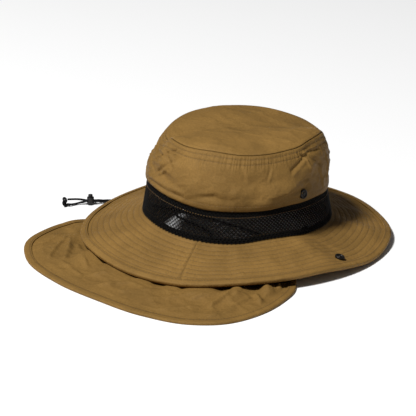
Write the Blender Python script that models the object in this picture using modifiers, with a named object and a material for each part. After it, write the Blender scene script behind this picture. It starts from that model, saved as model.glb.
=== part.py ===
"""Wide-brimmed sun hat with a mesh band, a neck cape and a chin cord, lying on a flat surface.

Metres, +Z up. The front of the hat points along -Y and the wearer's left along +X. An angle runs
anticlockwise seen from above, so 0 is the wearer's left and 90 the centre back. The pieces are laid
out round the middle of the head opening, with the surface at height 0. move_origin then puts the
origin under the middle of the hat without its cord.
"""

import math
from collections import namedtuple

import bmesh
import bpy
import numpy as np
from mathutils import Matrix, Vector

# Air left between pieces that touch
GAP = 0.0003

# Head opening, measured inside the mesh band at its foot
HEAD_HALF_LENGTH = 0.0962
HEAD_HALF_WIDTH = 0.0882

# Mesh band
FOOT_HEIGHT = 0.026
BAND_HEIGHT = 0.032
BAND_TAPER = 0.0056
BAND_WALL = 0.0012
BAND_LAP = 0.005

# Crown
CROWN_HEIGHT = 0.052
CROWN_WALL = 0.0012
FOLD_DEPTH = 0.004
TIP_RISE = 0.0045
LEAN = 0.0056
LEAN_ANGLE = 221

# Brim
BRIM_WIDTH = 0.061
BRIM_WALL = 0.002
BRIM_SAG = 0.12
COLLAR_HEIGHT = 0.005
EDGE_LIFT = 0.010
EDGE_DROOP = 0.0005
BINDING_WIDTH = 0.0065
BINDING_WALL = 0.0008

# Neck cape
CAPE_REACH = 0.212
CAPE_WALL = 0.001
CAPE_SEAM = 0.002
CAPE_FALL = 0.014
CAPE_FIRST_ANGLE = 24
CAPE_LAST_ANGLE = 155
CAPE_FOLD = 0.006
HEM_WIDTH = 0.0065
HEM_WALL = 0.0007
HEM_MARGIN = 0.004

# Press studs that hold the brim up against the crown
SNAP_RADIUS = 0.0047
SNAP_HEIGHT = 0.0022
CROWN_SNAP_RISE = 0.0085
BRIM_SNAP_INSET = 0.015
SNAP_ANGLES = {"left": 350, "right": 176}

# Chin cord
CORD_DIAMETER = 0.0022
TAB_WIDTH = 0.008
TAB_WALL = 0.0015
TAB_DROP = 0.013
TAB_ANGLES = {"left": 0, "right": 180}

# Cord lock, standing on the surface
LOCK_PLACE = (0.1692, 0.0311)
LOCK_HEADING = 41
LOCK_RADIUS = 0.0036
LOCK_HEIGHT = 0.008
LOCK_HOLE_HEIGHT = 0.004
LOCK_HOLE_CLEARANCE = 0.0004
BUTTON_RADIUS = 0.0023
BUTTON_CLEARANCE = 0.0003
BUTTON_STROKE = 0.0015
BUTTON_TOP = 0.0106
BUTTON_EDGE = 0.0003
LOCK_ROOF = 0.0005

# Knot at the end of the chin cord
KNOT_REACH = 0.0259
KNOT_SIDE = -0.0048
KNOT_SCALE = 0.00145
KNOT_STEPS = 36

# Steps round the hat, along the cape, round a turned piece and along a cord, and how much closer
# the cape's ribs stand at its corners
ROUND_STEPS = 60
CAPE_STEPS = 40
CAPE_CROWDING = 0.11
TURNED_STEPS = 10
CORD_STEPS = 48

# The hat's height and reach round its edge. foot, band, crown and lift are shares of
# FOOT_HEIGHT, BAND_HEIGHT, CROWN_HEIGHT and EDGE_LIFT, and brim is a share of BRIM_WIDTH.
Station = namedtuple("Station", "angle foot band crown brim lift")
STATIONS = [
    Station(0, 1.10, 1.02, 0.91, 1.00, 0.45),
    Station(25, 1.15, 1.03, 0.83, 1.00, 0.36),
    Station(50, 1.21, 1.03, 0.72, 1.00, 0.55),
    Station(68, 1.23, 1.05, 0.85, 1.00, 0.80),
    Station(90, 1.12, 1.03, 0.92, 1.00, 0.47),
    Station(110, 1.02, 0.97, 1.01, 1.00, 0.32),
    Station(130, 0.99, 0.95, 0.98, 1.00, 0.70),
    Station(150, 1.08, 0.86, 0.98, 1.00, 0.87),
    Station(163, 1.04, 0.91, 0.98, 1.00, 0.93),
    Station(175, 0.94, 0.97, 1.00, 1.00, 0.60),
    Station(190, 0.88, 1.00, 1.06, 1.00, 0.17),
    Station(210, 0.81, 0.97, 1.09, 0.98, 0.38),
    Station(238, 0.79, 0.97, 0.93, 0.93, 0.00),
    Station(265, 0.83, 0.98, 0.93, 0.98, 0.08),
    Station(300, 0.90, 1.00, 0.98, 1.00, 0.43),
    Station(335, 1.02, 1.02, 0.95, 1.00, 0.75),
]

# The crown's side, from its lower edge at level 0 to the seam at level 1
Profile = namedtuple("Profile", "level radius")
CROWN_PROFILE = [
    Profile(0.00, 1.000),
    Profile(0.10, 1.000),
    Profile(0.25, 0.984),
    Profile(0.50, 0.964),
    Profile(0.72, 0.937),
    Profile(0.88, 0.901),
    Profile(1.00, 0.862),
]

# The crown's tip, from the seam at 0 to its middle at 1, with the rise as a share of TIP_RISE
Tip = namedtuple("Tip", "inward rise")
TIP_PROFILE = [
    Tip(0.00, 0.00),
    Tip(0.06, 0.48),
    Tip(0.20, 0.80),
    Tip(0.55, 1.00),
    Tip(1.00, 0.90),
]

# Soft folds of the crown: depth is a share of FOLD_DEPTH, outward or upward when positive, and
# wide and tall are the fold's half sizes in degrees and in levels. A level past 1 is on the tip.
Fold = namedtuple("Fold", "angle level depth wide tall")
CROWN_FOLDS = [
    Fold(40, 0.62, 0.10, 15, 0.24),
    Fold(58, 0.97, -0.80, 14, 0.18),
    Fold(76, 0.30, -0.60, 12, 0.11),
    Fold(84, 0.78, -0.40, 9, 0.12),
    Fold(108, 0.58, 0.50, 20, 0.26),
    Fold(120, 0.24, -0.30, 17, 0.10),
    Fold(150, 0.24, -0.35, 12, 0.11),
    Fold(158, 0.62, 0.45, 12, 0.20),
    Fold(173, 0.46, -0.65, 9, 0.13),
    Fold(184, 0.88, -0.70, 7, 0.09),
    Fold(206, 0.50, 0.60, 16, 0.26),
    Fold(238, 0.32, -0.50, 18, 0.10),
    Fold(268, 0.62, 0.45, 22, 0.22),
    Fold(300, 0.36, -0.55, 16, 0.12),
    Fold(335, 0.66, -0.40, 16, 0.18),
    Fold(62, 1.22, -0.55, 26, 0.16),
    Fold(140, 1.42, 0.30, 40, 0.20),
    Fold(215, 1.55, -0.40, 45, 0.22),
    Fold(310, 1.30, -0.30, 30, 0.18),
]

# The neck cape's outline on the surface, as shares of CAPE_REACH
Outline = namedtuple("Outline", "angle reach")
CAPE_OUTLINE = [
    Outline(24, 0.600),
    Outline(28, 0.755),
    Outline(33, 0.827),
    Outline(39, 0.893),
    Outline(46, 0.958),
    Outline(58, 0.998),
    Outline(78, 0.997),
    Outline(94, 1.008),
    Outline(108, 1.056),
    Outline(120, 1.086),
    Outline(128, 1.058),
    Outline(136, 0.965),
    Outline(144, 0.838),
    Outline(150, 0.734),
    Outline(155, 0.600),
]

# Folds of the cape where it lies: reach and tall run from its fall at 0 to its edge at 1, and
# rise is a share of CAPE_FOLD
CapeFold = namedtuple("CapeFold", "angle reach rise wide tall")
CAPE_FOLDS = [
    CapeFold(36, 0.62, 0.65, 4, 0.16),
    CapeFold(46, 0.40, 0.80, 4, 0.22),
    CapeFold(56, 0.66, 0.45, 4, 0.22),
    CapeFold(70, 0.52, 0.55, 4, 0.20),
    CapeFold(88, 0.42, 0.70, 6, 0.16),
    CapeFold(104, 0.60, 0.35, 5, 0.16),
    CapeFold(118, 0.46, 0.60, 5, 0.12),
    CapeFold(130, 0.44, 0.90, 4, 0.14),
    CapeFold(142, 0.56, 0.60, 5, 0.16),
]

# The cord's two runs by hand, from each tab to the lock: across the hat's middle and out under
# the brim. x and y are from the middle of the head opening.
CordPoint = namedtuple("CordPoint", "x y height")
CORD_RUNS = {
    "left": [
        CordPoint(0.0838, 0.0006, 0.0060),
        CordPoint(0.0775, 0.0020, 0.0020),
        CordPoint(0.0660, 0.0045, 0.0013),
        CordPoint(0.0440, 0.0090, 0.0013),
        CordPoint(0.0220, 0.0160, 0.0013),
        CordPoint(0.0110, 0.0280, 0.0013),
        CordPoint(0.0170, 0.0400, 0.0013),
        CordPoint(0.0340, 0.0440, 0.0013),
        CordPoint(0.0560, 0.0370, 0.0013),
        CordPoint(0.0800, 0.0260, 0.0013),
        CordPoint(0.1030, 0.0165, 0.0013),
        CordPoint(0.1260, 0.0115, 0.0013),
        CordPoint(0.1460, 0.0125, 0.0013),
        CordPoint(0.1595, 0.0185, 0.0015),
    ],
    "right": [
        CordPoint(-0.0838, -0.0006, 0.0060),
        CordPoint(-0.0775, -0.0025, 0.0020),
        CordPoint(-0.0660, -0.0055, 0.0013),
        CordPoint(-0.0420, -0.0105, 0.0013),
        CordPoint(-0.0120, -0.0140, 0.0013),
        CordPoint(0.0200, -0.0150, 0.0013),
        CordPoint(0.0520, -0.0140, 0.0013),
        CordPoint(0.0820, -0.0115, 0.0013),
        CordPoint(0.1100, -0.0075, 0.0013),
        CordPoint(0.1340, -0.0015, 0.0013),
        CordPoint(0.1510, 0.0065, 0.0013),
        CordPoint(0.1630, 0.0149, 0.0015),
    ],
}

# The cord's ends by hand, from just before the lock to the knot: along and aside are measured
# from the lock, along its heading and to the right of it.
EndPoint = namedtuple("EndPoint", "along aside height")
CORD_ENDS = {
    "left": [
        EndPoint(-0.0130, 0.0030, 0.0018),
        EndPoint(-0.0085, 0.0006, 0.0032),
        EndPoint(-0.0040, -0.00125, 0.0040),
        EndPoint(0.0040, -0.00125, 0.0040),
        EndPoint(0.0080, -0.0010, 0.0031),
        EndPoint(0.0120, -0.0012, 0.0020),
        EndPoint(0.0160, -0.0030, 0.0016),
        EndPoint(0.0200, -0.0058, 0.0021),
    ],
    "right": [
        EndPoint(-0.0130, 0.0066, 0.0019),
        EndPoint(-0.0085, 0.0036, 0.0033),
        EndPoint(-0.0040, 0.00125, 0.0040),
        EndPoint(0.0040, 0.00125, 0.0040),
        EndPoint(0.0080, 0.0018, 0.0045),
        EndPoint(0.0130, 0.0012, 0.0052),
        EndPoint(0.0180, -0.0010, 0.0060),
    ],
}
# Where each run meets the knot, from the knot's middle: to the right of the heading, and up
KNOT_ENTRIES = {"left": (-0.0026, -0.0012), "right": (0.0020, 0.0022)}


def curve_through(places, values, place):
    """Value at one place of a smooth curve through the given values."""
    slopes = np.gradient(values, places)
    last = len(places) - 2
    i = min(max(int(np.searchsorted(places, place)) - 1, 0), last)
    span = places[i + 1] - places[i]
    t = (place - places[i]) / span
    start = (1 + 2 * t) * (1 - t) ** 2 * values[i] + t * (1 - t) ** 2 * span * slopes[i]
    end = t * t * (3 - 2 * t) * values[i + 1] + t * t * (t - 1) * span * slopes[i + 1]
    return start + end


def read_table(rows, column, place):
    """Value of a column between its rows, whose first column holds their places."""
    return curve_through([row[0] for row in rows], [getattr(row, column) for row in rows], place)


def around(column, angle):
    """Share in STATIONS at an angle, read round the hat without a break."""
    places = [row.angle + turn for turn in (-360, 0, 360) for row in STATIONS]
    values = [getattr(row, column) for row in STATIONS] * 3
    return curve_through(places, values, angle % 360)


def ellipse(angle, shrink=0.0):
    """Radius at an angle of the head opening's outline, made smaller by shrink all round."""
    length, width = HEAD_HALF_LENGTH - shrink, HEAD_HALF_WIDTH - shrink
    turn = math.radians(angle)
    return 1 / math.hypot(math.cos(turn) / width, math.sin(turn) / length)


def polar(angle, radius, height=0.0):
    turn = math.radians(angle)
    return Vector((radius * math.cos(turn), radius * math.sin(turn), height))


def smooth_step(share):
    share = min(max(share, 0.0), 1.0)
    return share * share * (3 - 2 * share)


def turned_by(angle, other):
    """Degrees from one angle to another, by the shorter way."""
    return (angle - other + 180) % 360 - 180


def foot_height(angle):
    return FOOT_HEIGHT * around("foot", angle)


def band_height(angle):
    return BAND_HEIGHT * around("band", angle)


def crown_fold(angle, level):
    """How far the crown's cloth stands out or up, clear of the lapped edge and of the tip's middle."""
    total = 0.0
    for fold in CROWN_FOLDS:
        across = turned_by(angle, fold.angle) / fold.wide
        along = (level - fold.level) / fold.tall
        total += fold.depth * math.exp(-across * across - along * along)
    lap = BAND_LAP / CROWN_HEIGHT
    return FOLD_DEPTH * total * smooth_step(level / lap - 1) * smooth_step((2 - level) * 2)


def lean(level):
    """Sideways set of the crown at a level: above the lap, it stands a little to one side."""
    lap = BAND_LAP / CROWN_HEIGHT
    return polar(LEAN_ANGLE, LEAN * max(min(level, 1.0) - lap, 0.0) / (1 - lap))


def crown_side_point(angle, level):
    """Inner face of the crown's side."""
    radius = ellipse(angle, BAND_TAPER) + BAND_WALL + GAP
    radius = radius * read_table(CROWN_PROFILE, "radius", level) + crown_fold(angle, level)
    height = foot_height(angle) + band_height(angle)
    height += level * CROWN_HEIGHT * around("crown", angle)
    return polar(angle, radius, height) + lean(level)


def tip_middle():
    """Middle of the tip, level with the mean of the seam round it."""
    seam = [crown_side_point(360 * i / ROUND_STEPS, 1).z for i in range(ROUND_STEPS)]
    return lean(1) + Vector((0, 0, sum(seam) / len(seam)))


def tip_point(angle, inward, middle):
    """Inner face of the tip, from the seam to its middle."""
    seam = crown_side_point(angle, 1)
    flat = seam.lerp(middle, inward)
    flat.z = seam.z + (middle.z - seam.z) * smooth_step(inward)
    flat.z += TIP_RISE * read_table(TIP_PROFILE, "rise", inward)
    flat.z += crown_fold(angle, 1 + inward) * smooth_step(inward * 6)
    return flat


def collar_radius(angle, rise=0.0):
    """Outer face of the collar inside the band, which leans in with the band as it rises."""
    return ellipse(angle, BAND_TAPER * rise / band_height(angle)) - GAP


def brim_point(angle, share):
    """Upper face of the brim, from the collar at share 0 to its edge at share 1."""
    radius = collar_radius(angle) + share * BRIM_WIDTH * around("brim", angle)
    start = foot_height(angle) - GAP
    edge = BRIM_WALL + GAP + BINDING_WALL + EDGE_DROOP + EDGE_LIFT * around("lift", angle)
    height = start + (edge - start) * (share + BRIM_SAG * share * (1 - share))
    return polar(angle, radius, height)


def brim_normal(angle, share):
    """Direction straight out of the brim's upper face."""
    step = 0.01
    along = brim_point(angle + 1, share) - brim_point(angle - 1, share)
    outward = brim_point(angle, share + step) - brim_point(angle, share - step)
    return outward.cross(along).normalized()


def crown_normal(angle, level):
    step = 0.01
    along = crown_side_point(angle + 1, level) - crown_side_point(angle - 1, level)
    upward = crown_side_point(angle, level + step) - crown_side_point(angle, level - step)
    return along.cross(upward).normalized()


def cape_rest(in_hem):
    """Height of the cape's upper face where it lies: in_hem is 1 inside its hem and 0 well clear."""
    return CAPE_WALL + GAP / 2 + (HEM_WALL + GAP / 2) * in_hem


def cape_start(angle):
    """Upper end of the cape, just under the brim beside the collar."""
    share = CAPE_SEAM / BRIM_WIDTH
    seam = brim_point(angle, share)
    return seam - brim_normal(angle, share) * (BRIM_WALL + GAP)


def cape_edge_radius(angle):
    return CAPE_REACH * read_table(CAPE_OUTLINE, "reach", angle)


def cape_edge():
    """Points of the cape's edge, at its ribs."""
    angles = [cape_angle(i / CAPE_STEPS) for i in range(CAPE_STEPS + 1)]
    return [polar(angle, cape_edge_radius(angle)) for angle in angles]


def cape_fold(angle, reach):
    total = 0.0
    for fold in CAPE_FOLDS:
        across = (angle - fold.angle) / fold.wide
        along = (reach - fold.reach) / fold.tall
        total += fold.rise * math.exp(-across * across - along * along)
    return CAPE_FOLD * total


def cape_room(angle, radius):
    """How far the cape may rise at a radius: little under the brim's edge, and freely past it."""
    edge = brim_point(angle, 1)
    under = EDGE_DROOP / 2 + EDGE_LIFT * around("lift", angle) - cape_rest(0)
    past = (radius - math.hypot(edge.x, edge.y)) / CAPE_FOLD - 1.5
    return max(under, GAP) + 2 * CAPE_FOLD * smooth_step(past)


def cape_laid_point(angle, reach, edge):
    """Upper face of the cape where it lies, flat along its hem and its fall."""
    start = cape_start(angle)
    inner = math.hypot(start.x, start.y) + CAPE_FALL
    outer = cape_edge_radius(angle)
    radius = inner + (outer - inner) * reach
    inside = min((polar(angle, radius) - point).length for point in edge)
    clear = smooth_step((inside - HEM_WIDTH - HEM_MARGIN) / HEM_WIDTH)
    sides = min(angle - CAPE_FIRST_ANGLE, CAPE_LAST_ANGLE - angle)
    rise = cape_fold(angle, reach) * clear * smooth_step(sides / 8) * smooth_step(reach * 8)
    room = cape_room(angle, radius)
    return polar(angle, radius, cape_rest(1 - clear) + room * math.tanh(rise / room))


def cape_fall_point(angle, share, edge):
    """Upper face of the cape between the brim and the surface."""
    start = cape_start(angle)
    landing = cape_laid_point(angle, 0, edge)
    point = start.lerp(landing, share)
    point.z = landing.z + (start.z - landing.z) * (1 - share) ** 2
    return point


def cape_angle(share):
    """Angle of a rib of the cape: the ribs stand closer at its two corners."""
    span = CAPE_LAST_ANGLE - CAPE_FIRST_ANGLE
    return CAPE_FIRST_ANGLE + span * (share - CAPE_CROWDING * math.sin(2 * math.pi * share))


def material(name, colour, roughness, metallic=0.0):
    made = bpy.data.materials.new(name)
    made.use_nodes = True
    shader = made.node_tree.nodes["Principled BSDF"]
    shader.inputs["Base Color"].default_value = (*colour, 1)
    shader.inputs["Roughness"].default_value = roughness
    shader.inputs["Metallic"].default_value = metallic
    return made


def place_in_scene(name, data, finish, parts):
    obj = bpy.data.objects.new(name, data)
    data.materials.append(finish)
    parts["collection"].objects.link(obj)
    obj.parent = parts["origin"]
    return obj


def loft(name, rows, ring, finish, parts, middle=None):
    """Open surface through rows of points, closed round if ring is true and over the middle point."""
    shape = bmesh.new()
    grid = [[shape.verts.new(point) for point in row] for row in rows]
    for near, far in zip(grid, grid[1:]):
        count = len(near)
        for i in range(count if ring else count - 1):
            j = (i + 1) % count
            shape.faces.new((near[i], near[j], far[j], far[i]))
    if middle is not None:
        centre = shape.verts.new(middle)
        last = grid[-1]
        for i, corner in enumerate(last):
            shape.faces.new((corner, last[(i + 1) % len(last)], centre))
    mesh = bpy.data.meshes.new(name)
    shape.to_mesh(mesh)
    shape.free()
    mesh.shade_smooth()
    return place_in_scene(name, mesh, finish, parts)


def thicken(obj, wall, side):
    """Gives an open surface a wall, on the outer face's side if side is 1 and inside it if -1."""
    solid = obj.modifiers.new("Wall", "SOLIDIFY")
    solid.thickness = wall
    solid.offset = side
    solid.use_even_offset = True
    solid.use_quality_normals = True


def ring_angles():
    return [360 * i / ROUND_STEPS for i in range(ROUND_STEPS)]


def make_mesh_band(finish, parts):
    lap = BAND_LAP / BAND_HEIGHT
    rows = []
    for level in (0, 0.5, 1, 1 + lap):
        row = []
        for angle in ring_angles():
            height = foot_height(angle) + min(level, 1) * band_height(angle)
            height += max(level - 1, 0) * BAND_HEIGHT
            row.append(polar(angle, ellipse(angle, BAND_TAPER * level), height))
        rows.append(row)
    thicken(loft("mesh_band", rows, True, finish, parts), BAND_WALL, 1)


def make_crown_side(finish, parts):
    seam = 1 - GAP / CROWN_HEIGHT
    levels = (0, 0.12, 0.24, 0.38, 0.54, 0.7, 0.86, seam)
    rows = [[crown_side_point(angle, level) for angle in ring_angles()] for level in levels]
    thicken(loft("crown_side", rows, True, finish, parts), CROWN_WALL, 1)


def make_crown_top(finish, parts):
    middle = tip_middle()
    rows = []
    for inward in (0, 0.07, 0.2, 0.4, 0.68):
        rows.append([tip_point(angle, inward, middle) for angle in ring_angles()])
    centre = tip_point(0, 1, middle)
    thicken(loft("crown_top", rows, True, finish, parts, centre), CROWN_WALL, 1)


def make_brim(finish, parts):
    rows = []
    for rise in (COLLAR_HEIGHT, COLLAR_HEIGHT / 2):
        row = []
        for angle in ring_angles():
            height = foot_height(angle) - GAP + rise
            row.append(polar(angle, collar_radius(angle, rise), height))
        rows.append(row)
    for share in (0, 0.2, 0.45, 0.7, 0.89, 1):
        rows.append([brim_point(angle, share) for angle in ring_angles()])
    thicken(loft("brim", rows[::-1], True, finish, parts), BRIM_WALL, -1)


def make_brim_binding(finish, parts):
    """Folded strip round the brim's edge, open towards the crown."""
    inner = 1 - BINDING_WIDTH / BRIM_WIDTH
    rows = [[], [], [], []]
    for angle in ring_angles():
        edge_up, inner_up = brim_normal(angle, 1), brim_normal(angle, inner)
        outward = (brim_point(angle, 1) - brim_point(angle, inner)).normalized() * GAP
        below = BRIM_WALL + GAP
        rows[0].append(brim_point(angle, inner) - inner_up * below)
        rows[1].append(brim_point(angle, 1) + outward - edge_up * below)
        rows[2].append(brim_point(angle, 1) + outward + edge_up * GAP)
        rows[3].append(brim_point(angle, inner) + inner_up * GAP)
    thicken(loft("brim_binding", rows, True, finish, parts), BINDING_WALL, 1)


def make_neck_cape(finish, parts):
    angles = [cape_angle(i / CAPE_STEPS) for i in range(CAPE_STEPS + 1)]
    edge = cape_edge()
    rows = [[cape_fall_point(angle, share, edge) for angle in angles] for share in (0, 0.3, 0.62)]
    for share in (0, 0.2, 0.4, 0.6, 0.8, 1):
        row = []
        for angle in angles:
            start = cape_start(angle)
            length = cape_edge_radius(angle) - math.hypot(start.x, start.y) - CAPE_FALL
            field = 1 - (HEM_WIDTH + HEM_MARGIN) / length
            row.append(cape_laid_point(angle, share * field, edge))
        rows.append(row)
    rows.append([cape_laid_point(angle, 1, edge) for angle in angles])
    thicken(loft("neck_cape", rows[::-1], False, finish, parts), CAPE_WALL, -1)


def make_cape_hem(finish, parts):
    """Folded strip along the cape's edge, open towards the hat."""
    edge = cape_edge()
    low, high = HEM_WALL, cape_rest(1) + GAP
    rows = [[], [], [], []]
    for i, point in enumerate(edge):
        run = edge[min(i + 1, CAPE_STEPS)] - edge[max(i - 1, 0)]
        outward = Vector((run.y, -run.x, 0)).normalized()
        inside, outside = point - outward * HEM_WIDTH, point + outward * GAP
        rows[0].append(inside + Vector((0, 0, low)))
        rows[1].append(outside + Vector((0, 0, low)))
        rows[2].append(outside + Vector((0, 0, high)))
        rows[3].append(inside + Vector((0, 0, high)))
    thicken(loft("cape_hem", rows, False, finish, parts), HEM_WALL, 1)


def make_snap(name, seat, normal, finish, parts):
    """Turned cap of a press stud with a dimple in its face."""
    radius, height = SNAP_RADIUS, SNAP_HEIGHT
    shape = bmesh.new()
    outline = [
        (0, 0.7 * height),
        (0.35 * radius, 0.7 * height),
        (0.52 * radius, height),
        (0.82 * radius, height),
        (radius, 0.45 * height),
        (radius, 0),
        (0, 0),
    ]
    corners = [shape.verts.new((x, 0, z)) for x, z in outline]
    for near, far in zip(corners, corners[1:]):
        shape.edges.new((near, far))
    mesh = bpy.data.meshes.new(name)
    shape.to_mesh(mesh)
    shape.free()
    obj = place_in_scene(name, mesh, finish, parts)
    turn = obj.modifiers.new("Turn", "SCREW")
    turn.steps = turn.render_steps = TURNED_STEPS
    turn.use_merge_vertices = True
    turn.merge_threshold = 1e-5
    facing = normal.to_track_quat("Z", "X").to_matrix().to_4x4()
    obj.matrix_local = Matrix.Translation(seat + normal * GAP) @ facing


def make_snaps(finish, parts):
    for side, angle in SNAP_ANGLES.items():
        level = CROWN_SNAP_RISE / CROWN_HEIGHT
        normal = crown_normal(angle, level)
        seat = crown_side_point(angle, level) + normal * (CROWN_WALL + SNAP_RADIUS**2 / HEAD_HALF_WIDTH)
        make_snap(f"crown_snap_{side}", seat, normal, finish, parts)
        share = 1 - BRIM_SNAP_INSET / BRIM_WIDTH
        make_snap(f"brim_snap_{side}", brim_point(angle, share), brim_normal(angle, share), finish, parts)


def tab_middle(side):
    """Middle of the lower end of a tab, inside the collar."""
    angle = TAB_ANGLES[side]
    radius = collar_radius(angle, COLLAR_HEIGHT) - BRIM_WALL - GAP - TAB_WALL / 2
    return polar(angle, radius, foot_height(angle) - TAB_DROP)


def make_tabs(finish, parts):
    """Strip of webbing that carries each end of the chin cord."""
    for side, angle in TAB_ANGLES.items():
        foot = tab_middle(side)
        tall = TAB_DROP + COLLAR_HEIGHT
        shape = bmesh.new()
        bmesh.ops.create_cube(shape, size=1)
        bmesh.ops.scale(shape, vec=(TAB_WALL, TAB_WIDTH, tall), verts=shape.verts)
        mesh = bpy.data.meshes.new(f"cord_tab_{side}")
        shape.to_mesh(mesh)
        shape.free()
        obj = place_in_scene(f"cord_tab_{side}", mesh, finish, parts)
        obj.location = foot + Vector((0, 0, tall / 2))
        obj.rotation_euler.z = math.radians(angle)


def lock_point(along, aside, height):
    """Point beside the lock: along its heading, to the right of it and above the surface."""
    heading = math.radians(LOCK_HEADING)
    x = LOCK_PLACE[0] + along * math.cos(heading) + aside * math.sin(heading)
    y = LOCK_PLACE[1] + along * math.sin(heading) - aside * math.cos(heading)
    return Vector((x, y, height))


def knot_middle():
    """Middle of the knot, which stands on two of its three lobes, 33/16 of its scale below."""
    return lock_point(KNOT_REACH, KNOT_SIDE, KNOT_SCALE * 33 / 16 + CORD_DIAMETER / 2 + GAP / 2)


def knot_entry(side):
    aside, up = KNOT_ENTRIES[side]
    back = KNOT_SCALE + CORD_DIAMETER / 2 + GAP
    return lock_point(KNOT_REACH - back, KNOT_SIDE + aside, knot_middle().z + up)


def cord_route(side):
    """Points by hand from the tab to the knot."""
    start = tab_middle(side) - Vector((0, 0, GAP))
    route = [start] + [Vector(point) for point in CORD_RUNS[side]]
    route += [lock_point(*point) for point in CORD_ENDS[side]]
    return route + [knot_entry(side)]


def resample(points, count):
    """Even points along a smooth curve through the given ones."""
    walked = [0.0]
    for near, far in zip(points, points[1:]):
        walked.append(walked[-1] + (far - near).length)
    fine = np.linspace(0, walked[-1], 12 * count)
    curve = [Vector([curve_through(walked, [p[k] for p in points], d) for k in range(3)]) for d in fine]
    lengths = [0.0]
    for near, far in zip(curve, curve[1:]):
        lengths.append(lengths[-1] + (far - near).length)
    even = np.linspace(0, lengths[-1], count)
    return [Vector([np.interp(d, lengths, [p[k] for p in curve]) for k in range(3)]) for d in even]


def tube(name, points, diameter, finish, parts, closed=False, sides_step=2):
    curve = bpy.data.curves.new(name, "CURVE")
    curve.dimensions = "3D"
    curve.bevel_depth = diameter / 2
    curve.bevel_resolution = sides_step
    curve.use_fill_caps = True
    spline = curve.splines.new("POLY")
    spline.points.add(len(points) - 1)
    for slot, point in zip(spline.points, points):
        slot.co = (*point, 1)
    spline.use_cyclic_u = closed
    return place_in_scene(name, curve, finish, parts)


def make_cords(finish, parts):
    for side in ("left", "right"):
        points = resample(cord_route(side), CORD_STEPS)
        tube(f"chin_cord_{side}", points, CORD_DIAMETER, finish, parts)


def make_knot(finish, parts):
    """Threefold knot that stands across the cord's heading."""
    middle = knot_middle()
    points = []
    for i in range(KNOT_STEPS):
        t = 2 * math.pi * i / KNOT_STEPS
        aside = math.sin(t) + 2 * math.sin(2 * t)
        up = 2 * math.cos(2 * t) - math.cos(t)
        along = -math.sin(3 * t)
        offset = lock_point(KNOT_REACH + KNOT_SCALE * along, KNOT_SIDE + KNOT_SCALE * aside, middle.z)
        points.append(offset + Vector((0, 0, KNOT_SCALE * up)))
    tube("cord_knot", points, CORD_DIAMETER, finish, parts, closed=True, sides_step=1)


def cylinder(name, radius, low, high, steps=16):
    """Upright cylinder mesh between two heights."""
    shape = bmesh.new()
    bmesh.ops.create_cone(
        shape, cap_ends=True, segments=steps, radius1=radius, radius2=radius, depth=high - low
    )
    bmesh.ops.translate(shape, vec=(0, 0, (low + high) / 2), verts=shape.verts)
    mesh = bpy.data.meshes.new(name)
    shape.to_mesh(mesh)
    shape.free()
    return mesh


def cut(obj, name, mesh, parts):
    """Cuts a mesh out of an object at its own place."""
    cutter = bpy.data.objects.new(name, mesh)
    parts["cutters"].objects.link(cutter)
    cutter.parent = parts["origin"]
    cutter.location, cutter.rotation_euler = obj.location, obj.rotation_euler
    cutter.hide_render = True
    cutter.display_type = "WIRE"
    boolean = obj.modifiers.new(name, "BOOLEAN")
    boolean.object = cutter


def soften(obj, width):
    edge = obj.modifiers.new("Edge", "BEVEL")
    edge.width = width
    edge.segments = 2
    edge.limit_method = "ANGLE"


def hole_size():
    """Width and height of the slot that both runs of the cord pass through."""
    width = 2 * CORD_DIAMETER + GAP + 2 * LOCK_HOLE_CLEARANCE
    return width, CORD_DIAMETER + 2 * LOCK_HOLE_CLEARANCE


def bore_floor():
    return LOCK_HOLE_HEIGHT + hole_size()[1] / 2 + LOCK_ROOF


def make_cord_lock(finish, parts):
    """Barrel with a cross hole for the cord and a bore for its button."""
    body = place_in_scene("cord_lock", cylinder("cord_lock", LOCK_RADIUS, 0, LOCK_HEIGHT), finish, parts)
    body.location = lock_point(0, 0, GAP / 2)
    body.rotation_euler.z = math.radians(LOCK_HEADING)
    width, height = hole_size()
    slot = bmesh.new()
    bmesh.ops.create_cube(slot, size=1)
    bmesh.ops.scale(slot, vec=(4 * LOCK_RADIUS, width, height), verts=slot.verts)
    bmesh.ops.translate(slot, vec=(0, 0, LOCK_HOLE_HEIGHT), verts=slot.verts)
    slot_mesh = bpy.data.meshes.new("lock_slot_cutter")
    slot.to_mesh(slot_mesh)
    slot.free()
    bore_radius = BUTTON_RADIUS + BUTTON_CLEARANCE
    bore_mesh = cylinder("lock_bore_cutter", bore_radius, bore_floor(), 2 * LOCK_HEIGHT)
    cut(body, "lock_slot_cutter", slot_mesh, parts)
    cut(body, "lock_bore_cutter", bore_mesh, parts)


def make_lock_button(finish, parts):
    """Button with its origin on the barrel's axis; it slides down into the bore."""
    low = bore_floor() + GAP + BUTTON_STROKE
    mesh = cylinder("cord_lock_button", BUTTON_RADIUS, low, BUTTON_TOP, 12)
    button = place_in_scene("cord_lock_button", mesh, finish, parts)
    button.location = lock_point(0, 0, GAP / 2)
    soften(button, BUTTON_EDGE)


def move_origin(parts):
    """Moves everything so that the origin is under the middle of the hat without its cord."""
    bpy.context.view_layer.update()
    graph = bpy.context.evaluated_depsgraph_get()
    corners = []
    for obj in parts["collection"].objects:
        if obj.type == "EMPTY" or obj.name.startswith(("chin_cord", "cord_lock", "cord_knot")):
            continue
        seen = obj.evaluated_get(graph)
        mesh = seen.to_mesh()
        corners += [seen.matrix_world @ vertex.co for vertex in mesh.vertices]
        seen.to_mesh_clear()
    low = [min(corner[k] for corner in corners) for k in range(3)]
    high = [max(corner[k] for corner in corners) for k in range(3)]
    parts["origin"].location = (-(low[0] + high[0]) / 2, -(low[1] + high[1]) / 2, -low[2])
    bpy.context.view_layer.update()


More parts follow.
